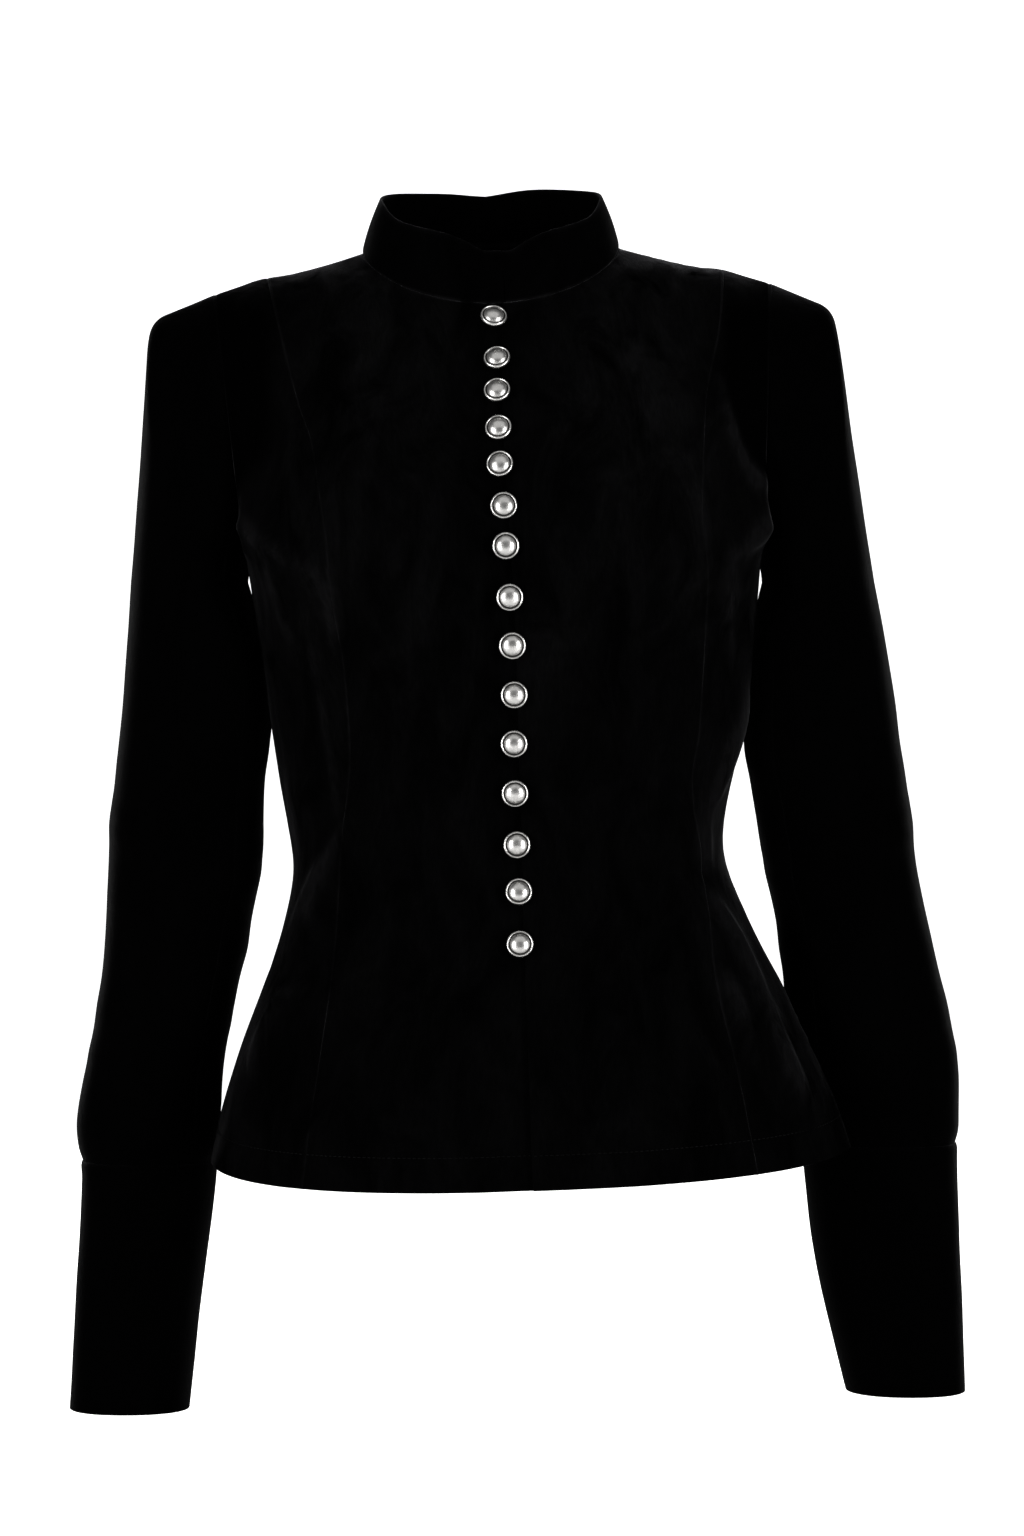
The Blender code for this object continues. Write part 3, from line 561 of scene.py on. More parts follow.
def upper_column(face, share, t):
    """Lines of the body from the armpit's level (t 0) up to the neckline or the shoulder seam (t 1)."""
    outward = -1.0 if face == "front" else 1.0
    start = section(face, share, np.full(share.shape, ARMPIT))
    below = section(face, share, np.full(share.shape, ARMPIT - 12))
    end = top_edge(face, share)
    pull = points(0.0, outward * ARMHOLE_PULL, 0.0)
    leave = mix((start - below) / 12 * ARMPIT_PULL, pull, ease((share - 0.62) / 0.38)[..., None])
    pulls = (NECK_PULL, CORNER_PULL, SHOULDER_PULL)
    neck, corner, shoulder = (points(x, -outward * y, z) for x, y, z in pulls)
    arrive = mix(mix(neck, corner, ease(share / NECK_SHARE)[..., None]), shoulder,
                 ease((share - NECK_SHARE) / 0.4)[..., None])
    return hermite(start, end, leave, arrive, t[..., None])


def body(face, across, up, lift=0.0):
    """The coat's body. Across runs from -1 at the right side to 1 at the left, up from 0 at the hem to 1 at
    the armpit and 2 at the neck and shoulders. Lift moves the points off the cloth's outer face."""
    across, up = np.broadcast_arrays(np.asarray(across, float), np.asarray(up, float))
    side = np.where(across < 0, -1.0, 1.0)
    share = np.minimum(np.abs(across), 1.0)
    drop = HEM_DROP if face == "front" else HEM_DROP * HEM_DROP_BACK
    hem = HEM_SIDE - drop * (1 - share**2.2)
    lower = section(face, share, mix(hem, ARMPIT, np.minimum(up, 1.0)))
    upper = upper_column(face, share, np.clip(up - 1, 0.0, 1.0))
    place = np.where((up <= 1)[..., None], lower, upper)
    outward = -1.0 if face == "front" else 1.0
    if face == "front":
        place[..., 1] -= (BUST["out"] * (1 - share**6)
                          * np.exp(-((place[..., 0] - BUST["across"]) / BUST["spread"])**2
                                   - ((place[..., 2] - BUST["height"]) / BUST["tall"])**2))
    place[..., 0] *= side
    placed = lean(place)
    folds = FRONT_FOLDS if face == "front" else BACK_FOLDS
    steep = ease((share - 0.35) / 0.6)
    out = unit(points(side * steep, outward * (1.05 - steep), 0.0))
    calm = ease((1 - share) / 0.12)
    raised = fold_height(folds, placed[..., 0], placed[..., 2], 12) * calm + lift
    return beside_sleeve(side, placed + out * raised[..., None])


def sleeve_table(side):
    """The sections of the sleeve on one side: -1 for the right, 1 for the left."""
    return RIGHT_SLEEVE if side < 0 else LEFT_SLEEVE


def beside_sleeve(side, place):
    """The flared hem gives way where a sleeve hangs against it."""
    x, y, z = place[..., 0], place[..., 1], place[..., 2]
    level = np.clip(z, HEM_LOWEST, HEM_BESIDE_SLEEVE)
    limit = np.full(x.shape, 1e9)
    for one in (-1.0, 1.0):
        table = sleeve_table(one)
        away = np.abs(y - read(table, 3, level)) / (read(table, 4, level) + HEM_CLEARANCE)
        reach = read(table, 2, level) * np.maximum(1 - away**SLEEVE_SQUARENESS, 0.0)**(1 / SLEEVE_SQUARENESS)
        near = one * read(table, 1, level) - reach - HEM_CLEARANCE
        limit = np.where((side == one) & (away < 1) & (z <= HEM_BESIDE_SLEEVE), near, limit)
    moved = place.copy()
    moved[..., 0] = side * np.minimum(side * x, limit)
    return moved


def across_at(face, up, line):
    """Where a seam, given by heights and distances or by distances alone, crosses the body's lines."""
    upright = isinstance(line, np.ndarray)
    low = np.full(up.shape, -1.0)
    high = np.full(up.shape, 1.0)
    for _ in range(26):
        middle = (low + high) / 2
        place = body(face, middle, up)
        short = place[..., 0] < (line if upright else read(line, 1, place[..., 2]))
        low = np.where(short, middle, low)
        high = np.where(short, high, middle)
    return (low + high) / 2


def beside(face, up, across, distance):
    """The same places moved along the cloth by a distance in mm, towards +X."""
    low = np.maximum(across - 0.004, -1.0)
    high = np.minimum(across + 0.004, 1.0)
    length = np.linalg.norm(body(face, high, up) - body(face, low, up), axis=-1)
    return np.clip(across + distance * (high - low) / length, -1.0, 1.0)


def seam(face, line, distance):
    """An edge of a piece: a seam's line, moved along the cloth by half the gap at the seam."""
    return lambda up: beside(face, up, across_at(face, up, line), distance)


def side_edge(face, side, gap):
    """The edge of a piece at a side seam."""
    return lambda up: beside(face, up, np.full(up.shape, side), -side * gap / 2)


def neck_column(low_edge, high_edge, side, share=0.5):
    """A line of the grid that ends at the neck's side, where the neckline meets the shoulder seam."""
    return lambda up: mix(mix(low_edge(up), high_edge(up), share), side * NECK_SHARE, ease(up - 1))


def sleeve_section(side, angle, z):
    """A sleeve's section: angle 0 faces the body, 90 degrees the front, 180 away from the body."""
    table = sleeve_table(side)
    c = np.cos(angle)
    s = np.sin(angle)
    power = 2 / SLEEVE_SQUARENESS
    x = read(table, 1, z) - side * read(table, 2, z) * np.sign(c) * np.abs(c)**power
    y = read(table, 3, z) - read(table, 4, z) * np.sign(s) * np.abs(s)**power
    return points(x, y, z)


def clear_of_body(side, place):
    """Keeps a sleeve's points outside the body beside it."""
    x, y, z = place[..., 0], place[..., 1], place[..., 2]
    depth = np.where(y < 0, read(TORSO, 2, z), read(TORSO, 3, z))
    squareness = read(TORSO, 4, z)
    half = read(TORSO, 1, z) * np.maximum(1 - (np.abs(y) / depth)**squareness, 0.0)**(1 / squareness)
    limit = half + side * read(TORSO, 5, z) + SLEEVE_CLEARANCE
    beside_body = (z > BICEPS - 110) & (z < ARMPIT)
    moved = place.copy()
    moved[..., 0] = np.where(beside_body, side * np.maximum(side * x, limit), x)
    return moved


def sleeve_lift(folds, angle, z):
    """How far the folds of a sleeve lift its cloth."""
    degrees = np.degrees(angle)
    lift = np.zeros(np.broadcast(angle, z).shape)
    for at, height, slant, spread, reach, rise in folds:
        round_by = (degrees - at + 180) % 360 - 180
        along = z - height - slant * round_by / 90
        lift += rise * np.exp(-(along / spread)**2 - (round_by / reach)**2)
    return lift


def sleeve(side, angle, down, creases=0.0):
    """A sleeve. Down runs from 0 at the armhole to 1 at the biceps, then to 2 at the cuff's seam."""
    angle, down = np.broadcast_arrays(np.mod(angle, 2 * np.pi), np.asarray(down, float))
    name = "right" if side < 0 else "left"
    table = sleeve_table(side)
    z = mix(BICEPS, CUFF_SEAM[name], np.maximum(down, 1.0) - 1)
    tube = sleeve_section(side, angle, z)
    tuck = CUFF_TUCK * np.exp(-((z - CUFF_SEAM[name]) / CUFF_TUCK_HEIGHT)**2)
    lift = sleeve_lift(SLEEVE_FOLDS, angle, z) + creases * sleeve_lift(SLEEVE_CREASES, angle, z) - tuck
    out = unit(points(tube[..., 0] - read(table, 1, z), tube[..., 1] - read(table, 3, z), 0.0))
    arm = clear_of_body(side, tube + out * lift[..., None])

    turn = np.where(angle <= np.pi, angle / np.pi, 2 - angle / np.pi)
    ahead = (angle <= np.pi)[..., None]
    armhole = np.where(ahead, body("front", side, 1 + turn), body("back", side, 1 + turn))
    armhole[..., 0] += side * ARMHOLE_GAP
    biceps = sleeve_section(side, angle, np.full(angle.shape, BICEPS))
    high = ease((turn - 0.35) / 0.6)
    corner = points(mix(mix(armhole[..., 0], biceps[..., 0], 0.8), side * HEAD_CORNER[name], high),
                    mix(armhole[..., 1], biceps[..., 1], 0.75),
                    armhole[..., 2] - mix(HEAD_DROP, HEAD_CORNER_DROP, high))
    corner[..., 2] = mix(mix(armhole[..., 2], biceps[..., 2], 0.5), corner[..., 2], ease(turn / 0.45))
    # The head leaves the armhole level, turns at its corner and falls to the biceps
    enter = mix(corner, armhole, mix(1.0, HEAD_ROUND, high)[..., None])
    leave = mix(corner, biceps, mix(0.8, HEAD_LEAVE, high)[..., None])
    first = mix(0.0, 0.26, high)
    second = mix(0.8, 0.56, high)
    near = mix(armhole, enter, np.minimum(down / np.maximum(first, 1e-6), 1.0)[..., None])
    far = mix(leave, biceps, np.clip((down - second) / (1 - second), 0.0, 1.0)[..., None])
    t = np.clip((down - first) / (second - first), 0.0, 1.0)[..., None]
    bend = enter * (1 - t)**2 + corner * (2 * t * (1 - t)) + leave * t * t
    head = np.where((down > second)[..., None], far, np.where((down < first)[..., None], near, bend))
    head = np.where((down < first)[..., None], head, clear_of_body(side, head))
    return np.where((down >= 1)[..., None], arm, head)


def collar(angle, up):
    """The stand collar. The angle is 0 at the front and 90 degrees at the wearer's left."""
    angle, up = np.broadcast_arrays(np.asarray(angle, float), np.asarray(up, float))
    s = np.sin(angle)
    c = np.cos(angle)
    share = np.arccos(np.clip(np.abs(c), 0.0, 1.0)) / (np.pi / 2) * NECK_SHARE
    base = np.where((c > 0)[..., None], top_edge("front", share), top_edge("back", share))
    base = lean(points(np.sign(s) * base[..., 0], base[..., 1], base[..., 2] + NECK_GAP))
    degrees = np.abs((np.degrees(angle) - COLLAR_CENTRE + 180) % 360 - 180)
    wave = COLLAR_WAVE * np.sin(3 * angle + 0.6) * ease((degrees - 100) / 60)
    depth = np.where(c > 0, COLLAR_TOP_FRONT, COLLAR_TOP_BACK)
    top = lean(points(COLLAR_TOP_SIDE * s, -depth * c, read(COLLAR_TOP, 1, degrees) + wave))
    swell = COLLAR_SWELL * np.sin(np.pi * up)
    return mix(base, top, up[..., None]) + points(s, -c, 0.0) * swell[..., None]


def ripple(x, z, seed):
    """Soft uneven waves of the cloth, between -1 and 1."""
    return (0.36 * np.sin(x / 17.0 + z / 41.0 + seed) + 0.30 * np.sin(z / 23.0 - x / 37.0 + 1.7 * seed)
            + 0.20 * np.sin(x / 9.5 - z / 15.0 + 2.3 * seed) + 0.14 * np.sin(z / 8.5 + x / 12.5 + 3.1 * seed))


def pucker(along, seed):
    """The small uneven gathers beside a seam, between -1 and 1."""
    return (np.sin(along / 1.75 + 1.9 * np.sin(along / 31.0 + seed))
            * (0.55 + 0.45 * np.sin(along / 43.0 + 2.1 * seed)))


def grid_normals(place):
    """The outward direction at every point of a grid, which runs to +X and up on the front."""
    along = np.gradient(place, axis=1)
    upward = np.gradient(place, axis=0)
    return unit(np.cross(along, upward))


def lengths(place, axis):
    """How far along the cloth each point of a grid lies from the grid's first point."""
    steps = np.linalg.norm(np.diff(place, axis=axis), axis=-1)
    total = np.cumsum(steps, axis=axis)
    shape = list(steps.shape)
    shape[axis] = 1
    return np.concatenate([np.zeros(shape), total], axis=axis)


def cloth_mesh(name, place, cloth, seams, relief=0.0, seed=0.0, nap=TONE_PLAIN):
    """A piece of cloth on a grid of points in mm: seam edges dip and pucker, the wall is given its thickness
    and its rim is rounded. Seams says which of left, right, bottom and top are sewn to a neighbour."""
    across = lengths(place, 1)
    up = lengths(place, 0)
    away = {"left": across, "right": across[:, -1:] - across, "bottom": up, "top": up[-1:] - up}
    normals = grid_normals(place)
    seam_highlight = SEAM_HIGHLIGHT_SLEEVE if name.endswith(("sleeve", "cuff")) else SEAM_HIGHLIGHT
    offset = relief + cloth.waves / MM * ripple(place[..., 0] + place[..., 1], place[..., 2], seed)
    for number, edge in enumerate(seams):
        run = up if edge in ("left", "right") else across
        offset = offset - cloth.seam_dip / MM * np.exp(-(away[edge] / SEAM_ROLL)**2)
        gathers = cloth.pucker / MM * pucker(run, seed + number)
        fade = np.exp(-away[edge] / GATHERS_FADE) * (1 - np.exp(-(away[edge] / GATHERS_FROM)**2))
        offset = offset + gathers * fade
        # Painted highlight: a thin light line along each seam
        nap = nap + seam_highlight * np.exp(-(away[edge] / SEAM_HIGHLIGHT_WIDTH)**2)
    place = place + normals * offset[..., None]
    normals = grid_normals(place)
    nap = np.broadcast_to(nap, place.shape[:2])

    rows, columns = place.shape[0] - 1, place.shape[1] - 1
    grid = bmesh.new()
    bmesh.ops.create_grid(grid, x_segments=columns, y_segments=rows, size=0.5)
    uv = grid.loops.layers.uv.new("cloth")
    light = grid.verts.layers.float.new("nap")
    spot = {}
    inward = {}
    for vertex in grid.verts:
        i = round((vertex.co.y + 0.5) * rows)
        j = round((vertex.co.x + 0.5) * columns)
        vertex.co = place[i, j] * MM
        vertex[light] = nap[i, j]
        spot[vertex] = (across[i, j] * MM, up[i, j] * MM)
        inward[tuple(vertex.co)] = Vector(-normals[i, j]) * cloth.thickness
    for face in grid.faces:
        for loop in face.loops:
            loop[uv].uv = spot[loop.vert]
    wall = bmesh.ops.extrude_face_region(grid, geom=grid.faces[:], use_keep_orig=True)
    for item in wall["geom"]:
        if isinstance(item, bmesh.types.BMVert):
            item.co += inward[tuple(item.co)]
    bmesh.ops.recalc_face_normals(grid, faces=grid.faces)
    rim = [edge for edge in grid.edges if edge.calc_face_angle(0.0) > math.radians(50)]
    bmesh.ops.bevel(grid, geom=rim, affect="EDGES", offset=cloth.edge_round, offset_type="OFFSET", segments=2,
                    profile=0.5, material=-1, clamp_overlap=True)
    return finished_mesh(name, grid)


def finished_mesh(name, made):
    """The smooth mesh of what bmesh made."""
    mesh = bpy.data.meshes.new(name)
    made.to_mesh(mesh)
    made.free()
    mesh.shade_smooth()
    return mesh


def add_piece(name, mesh, material, slot, *nodes):
    """Puts a mesh in the scene as a piece that rides on the coat."""
    piece = bpy.data.objects.new(name, mesh)
    mesh.materials.append(material)
    bpy.context.scene.collection.objects.link(piece)
    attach(piece, "root")
    if nodes:
        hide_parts(*nodes)
    return piece


def sew_piece(node, place, context, seams, relief=0.0, seed=0.0, extras=(), nap=TONE_PLAIN):
    """Makes one piece of velvet in the place of its solid, with its cut. Extras, what is sewn on it, is not
    used.
    """
    mesh = cloth_mesh(node, place, context.scene.coat_cloth, seams, relief, seed, nap)
    piece = add_piece("velvet_" + node, mesh, velvet(context), "velvet", node)
    return piece


def new_material(name):
    """A new material and its shader."""
    material = bpy.data.materials.new(name)
    material.use_nodes = True
    return material, material.node_tree.nodes["Principled BSDF"]


def feed(node, sockets):
    """Sets a node's inputs: another node's output is linked, and a value is written in."""
    for name, value in sockets.items():
        if isinstance(value, bpy.types.NodeSocket):
            node.id_data.links.new(value, node.inputs[name])
        else:
            node.inputs[name].default_value = value


def add_node(owner, kind, sockets=None, output=0, **settings):
    """Adds a node to a material or world, feeds it and gives its output."""
    node = owner.node_tree.nodes.new("ShaderNode" + kind)
    for name, value in settings.items():
        setattr(node, name, value)
    feed(node, sockets or {})
    return node.outputs[output]


def blend(owner, low, high, share):
    """A colour between two colours."""
    return add_node(owner, "MixRGB", {"Color1": (*low, 1.0), "Color2": (*high, 1.0), "Fac": share})


def spread(owner, value, low, high, start=0.0, stop=1.0):
    """A value that runs from start to stop, spread from low to high."""
    return add_node(owner, "MapRange", {"Value": value, "From Min": start, "From Max": stop, "To Min": low,
                                        "To Max": high})


def velvet(context):
    """Black velvet: a short pile with streaks that run down the piece, patchy tone and a soft sheen. Its
    colour and its sheen weight follow the painted tone and light of each piece, its painted highlights and
    shade."""
    if "black_velvet" in bpy.data.materials:
        return bpy.data.materials["black_velvet"]
    finish = context.scene.coat_finish
    material, shader = new_material("black_velvet")
    place = add_node(material, "TexCoord", output="Object")
    hang = add_node(material, "Mapping", {"Vector": place, "Scale": (1.0, 1.0, 0.4)})
    patches = add_node(material, "TexNoise", {"Vector": hang, "Scale": 34.0, "Detail": 6.0, "Roughness": 0.62,
                                              "Distortion": 0.8})
    weave = add_node(material, "UVMap", uv_map="cloth")
    down = add_node(material, "Mapping", {"Vector": weave, "Scale": (1.0, 0.3, 1.0)})
    streaks = add_node(material, "TexNoise", {"Vector": down, "Scale": 420.0, "Detail": 3.0})
    pile = add_node(material, "TexNoise", {"Vector": weave, "Scale": 1900.0, "Detail": 2.0})

    tone_and_light_attribute = add_node(material, "Attribute", output="Fac", attribute_name="nap")
    mottle = spread(material, patches, 0.1, 1.7, 0.34, 0.66)
    light = add_node(material, "Math", {0: tone_and_light_attribute, 1: mottle}, operation="MULTIPLY")
    grain = add_node(material, "ValToRGB", {"Fac": streaks})
    ramp = grain.node.color_ramp.elements
    ramp[0].position = 0.3
    ramp[0].color = (0.35, 0.35, 0.35, 1.0)
    ramp[1].position = 0.75
    # Painted light: the colour runs from the dark to the light velvet colour, and the sheen weight grows,
    # with the painted tone and light of each piece times its patches
    tone_and_light_colour = blend(material, finish.velvet_dark_and_shade, finish.velvet_light_and_highlight, light)
    fibres = add_node(material, "MixRGB", {"Color1": tone_and_light_colour, "Color2": grain, "Fac": 0.6},
                      blend_type="MULTIPLY")
    pile_bump = add_node(material, "Bump", {"Height": pile, "Strength": 0.5, "Distance": 0.0003})
    nap_bump = add_node(material, "Bump", {"Height": streaks, "Strength": 0.35, "Distance": 0.0006,
                                           "Normal": pile_bump})
    feed(shader, {
        "Base Color": fibres,
        "Metallic": 0.0,
        "Roughness": spread(material, patches, 0.72, 0.96),
        "Specular IOR Level": 0.004,
        "Sheen Weight": spread(material, light, 0.0, finish.sheen),
        "Sheen Roughness": finish.sheen_spread,
        "Sheen Tint": (*finish.sheen_colour, 1.0),
        "Normal": nap_bump,
    })
    return material


def thread(context):
    """Black sewing thread with a faint twist and shine."""
    if "black_thread" in bpy.data.materials:
        return bpy.data.materials["black_thread"]
    finish = context.scene.coat_finish
    material, shader = new_material("black_thread")
    place = add_node(material, "TexCoord", output="Object")
    twist = add_node(material, "TexNoise", {"Vector": place, "Scale": 900.0})
    feed(shader, {
        "Base Color": blend(material, finish.thread_colour, finish.thread_light, twist),
        "Roughness": spread(material, twist, 0.35, 0.6),
        "Specular IOR Level": 0.03,
    })
    return material


def silver(context):
    """Antique silver: bright where it is rubbed, dark in the groove, with fine brush marks."""
    if "antique_silver" in bpy.data.materials:
        return bpy.data.materials["antique_silver"]
    finish = context.scene.coat_finish
    material, shader = new_material("antique_silver")
    place = add_node(material, "TexCoord", output="Object")
    cloud = add_node(material, "TexNoise", {"Vector": place, "Scale": 420.0, "Detail": 5.0})
    stretch = add_node(material, "Mapping", {"Vector": place, "Scale": (0.25, 1.0, 1.4)})
    brushing = add_node(material, "TexNoise", {"Vector": stretch, "Scale": 2600.0, "Detail": 2.0})
    tarnish = add_node(material, "Attribute", output="Fac", attribute_name="tarnish")
    worn = add_node(material, "Math", {0: cloud, 1: 0.35, 2: tarnish}, operation="MULTIPLY_ADD",
                    use_clamp=True)
    feed(shader, {
        "Base Color": blend(material, finish.silver_bright, finish.silver_dark, worn),
        "Metallic": 1.0,
        "Roughness": spread(material, worn, 0.2, 0.55),
        "Normal": add_node(material, "Bump", {"Height": brushing, "Strength": 0.25, "Distance": 0.0001}),
    })
    return material


def body_rows(cloth):
    """Heights of a body piece's rows: close at the hem's edge and at its stitching, then every 3 mm."""
    hem = [0.0, 1.2, 3.0, 6.0, 9.5, 13.0, 16.0, 18.0, 19.0, 19.6, 20.2, 20.8, 21.4, 22.0, 23.0, 25.0, 28.0]
    lower = [height / BELOW_ARMPIT for height in hem] + list(np.linspace(31.0 / BELOW_ARMPIT, 1.0, 118))
    upper = list(1 + np.linspace(0.0, 1.0, 66)[1:])
    upper[-1] = 2 - 0.5 * cloth.seam_gap / MM / ABOVE_ARMPIT
    return np.array(lower + upper)


def spans(columns):
    """Shares of the way through each span of a piece's columns, closer together at the piece's two edges."""
    stops = []
    for k, count in enumerate(columns):
        inner = list(np.linspace(0.0, 1.0, count + 1))
        if k == 0:
            inner[1:1] = [0.3 / count, 0.62 / count]
        if k == len(columns) - 1:
            inner[-1:-1] = [1 - 0.62 / count, 1 - 0.3 / count]
        last = len(inner) if k == len(columns) - 1 else len(inner) - 1
        stops += [(k, share) for share in inner[:last]]
    return stops


def stitch_groove(cloth, ups):
    """The line that the top-stitching presses into the hem."""
    away = (ups - HEM_STITCHING) * BELOW_ARMPIT
    return -cloth.stitch_dip / MM * np.exp(-away**2)


def eased_neck(place, up):
    """Softens the bend below the neck's sides, where the neckline meets the shoulder seam."""
    share = (ease((up - 1.2) / 0.3) * 0.5)[1:-1, 1:-1, None]
    for _ in range(120):
        around = (place[:-2, 1:-1] + place[2:, 1:-1] + place[1:-1, :-2] + place[1:-1, 2:]) / 4
        place[1:-1, 1:-1] += (around - place[1:-1, 1:-1]) * share
    return place


def sew_body(context, node, face, edges, columns, seams, lift=None, seed=0.0):
    """A piece of the body between its edges, which are functions of the height giving a place across."""
    cloth = context.scene.coat_cloth
    ups = body_rows(cloth)
    places = np.stack([edge(ups) for edge in edges], axis=-1)
    across = np.stack([mix(places[:, k], places[:, k + 1], share) for k, share in spans(columns)], axis=-1)
    if face == "back":
        across = across[:, ::-1]
    up = np.broadcast_to(ups[:, None], across.shape)
    place = body(face, across, up, lift(across, up) if lift else 0.0)
    place = eased_neck(place, up)
    creases = FRONT_CREASES if face == "front" else BACK_CREASES
    drops = FRONT_DROPS if face == "front" else BACK_DROPS
    calm = ease((1 - np.abs(across)) / 0.05)
    # Folds that drop away on one side, and the painted highlight along their crests
    dropped, crest = drop_height(drops, place[..., 0], place[..., 2])
    creased = fold_height(creases, place[..., 0], place[..., 2], 24, CREASE_POWER)
    relief = cloth.creases * calm * dropped
    relief = relief + cloth.creases * creased * calm
    relief = relief + stitch_groove(cloth, ups)[:, None]
    nap = tone_and_painted_light_of(face, place, across, crest * calm)
    return sew_piece(node, place, context, seams, relief, seed,
                     [stitch_row(context, node, face, across, lift)], nap)


def stitch_row(context, node, face, across, lift):
    """The top-stitching along the hem of one piece, as separate stitches in their groove."""
    stitching = context.scene.coat_stitching
    beside_stitches = across[12]
    places = np.linspace(beside_stitches.min(), beside_stitches.max(), 600)
    up = np.full(places.shape, HEM_STITCHING)
    line = body(face, places, up, lift(places, up) if lift else 0.0)
    above = body(face, places, up + 0.004, lift(places, up) if lift else 0.0)
    run = lengths(line, 0)
    pitch = (stitching.length + stitching.space) / MM
    half = stitching.length / MM / 2
    sunk = -context.scene.coat_cloth.stitch_dip / MM + 0.25 * stitching.thread / MM
    size = Matrix.Diagonal((stitching.length / 2, stitching.thread / 2, stitching.thread / 2, 1.0))
    stitches = bmesh.new()
    centre = pitch * 0.75
    while centre < run[-1] - pitch * 0.75:
        middle = at_run(line, run, centre)
        along = unit(at_run(line, run, centre + half) - at_run(line, run, centre - half))
        out = unit(np.cross(along, unit(at_run(above, run, centre) - middle)))
        if (out[1] < 0) != (face == "front"):
            out = -out
        turn = Matrix((along, np.cross(out, along), out)).transposed().to_4x4()
        bmesh.ops.create_uvsphere(stitches, u_segments=8, v_segments=5, radius=1.0,
                                  matrix=Matrix.Translation(Vector(middle + out * sunk) * MM) @ turn @ size)
        centre += pitch
    mesh = finished_mesh("stitches_" + node, stitches)
    return add_piece("stitches_" + node, mesh, thread(context), "velvet")


def at_run(line, run, distance):
    """The point of a line at a distance along it."""
    return np.array([np.interp(distance, run, line[:, axis]) for axis in range(3)])


def underlap_lift(across, up):
    """The right front sinks under the left front's edge, past the thickness of the cloth."""
    place = body("front", across, up)
    edge = read(CLOSING_EDGE, 1, place[..., 2])
    return -UNDERLAP_DEPTH * ease((place[..., 0] - edge + UNDERLAP_RAMP) / (UNDERLAP_RAMP - 2))


class CoatCloth(bpy.types.PropertyGroup):
    """Sizes of the cloth and its seams"""
    thickness: bpy.props.FloatProperty(
        name="Cloth thickness", description="Thickness of the velvet with its backing", default=0.0018,
        min=0.001, max=0.003, unit="LENGTH", precision=4)
    seam_gap: bpy.props.FloatProperty(
        name="Seam gap", description="Space between two pieces sewn together. Below zero they overlap",
        default=-0.0009, min=-0.002, max=0.0006, unit="LENGTH", precision=5)
    seam_dip: bpy.props.FloatProperty(
        name="Seam dip", description="How far the cloth rolls in at a seam", default=0.0008, min=0.0,
        max=0.0015, unit="LENGTH", precision=4)
    edge_round: bpy.props.FloatProperty(
        name="Edge rounding", description="Radius of the cloth's turned edges", default=0.0006, min=0.0002,
        max=0.0008, unit="LENGTH", precision=4)
    pucker: bpy.props.FloatProperty(
        name="Pucker", description="Height of the small gathers beside a seam", default=0.00025, min=0.0,
        max=0.001, unit="LENGTH", precision=5)
    waves: bpy.props.FloatProperty(
        name="Waves", description="Height of the cloth's soft uneven waves", default=0.0004, min=0.0,
        max=0.002, unit="LENGTH", precision=5)
    creases: bpy.props.FloatProperty(
        name="Creases", description="Strength of the fine creases over the large folds", default=1.0, min=0.0,
        max=1.5)
    stitch_dip: bpy.props.FloatProperty(
        name="Stitch groove", description="How deep the top-stitching is pressed into the hem",
        default=0.00035, min=0.0, max=0.001, unit="LENGTH", precision=5)


class CoatStitching(bpy.types.PropertyGroup):
    """Sizes of the hem's stitching"""
    length: bpy.props.FloatProperty(
        name="Stitch length", description="Length of one stitch that shows", default=0.0026, min=0.001,
        max=0.006, unit="LENGTH", precision=4)
    space: bpy.props.FloatProperty(
        name="Stitch space", description="Space between two stitches", default=0.0007, min=0.0002, max=0.003,
        unit="LENGTH", precision=5)
    thread: bpy.props.FloatProperty(
        name="Thread", description="Thickness of the sewing thread", default=0.0007, min=0.0003, max=0.001,
        unit="LENGTH", precision=5)


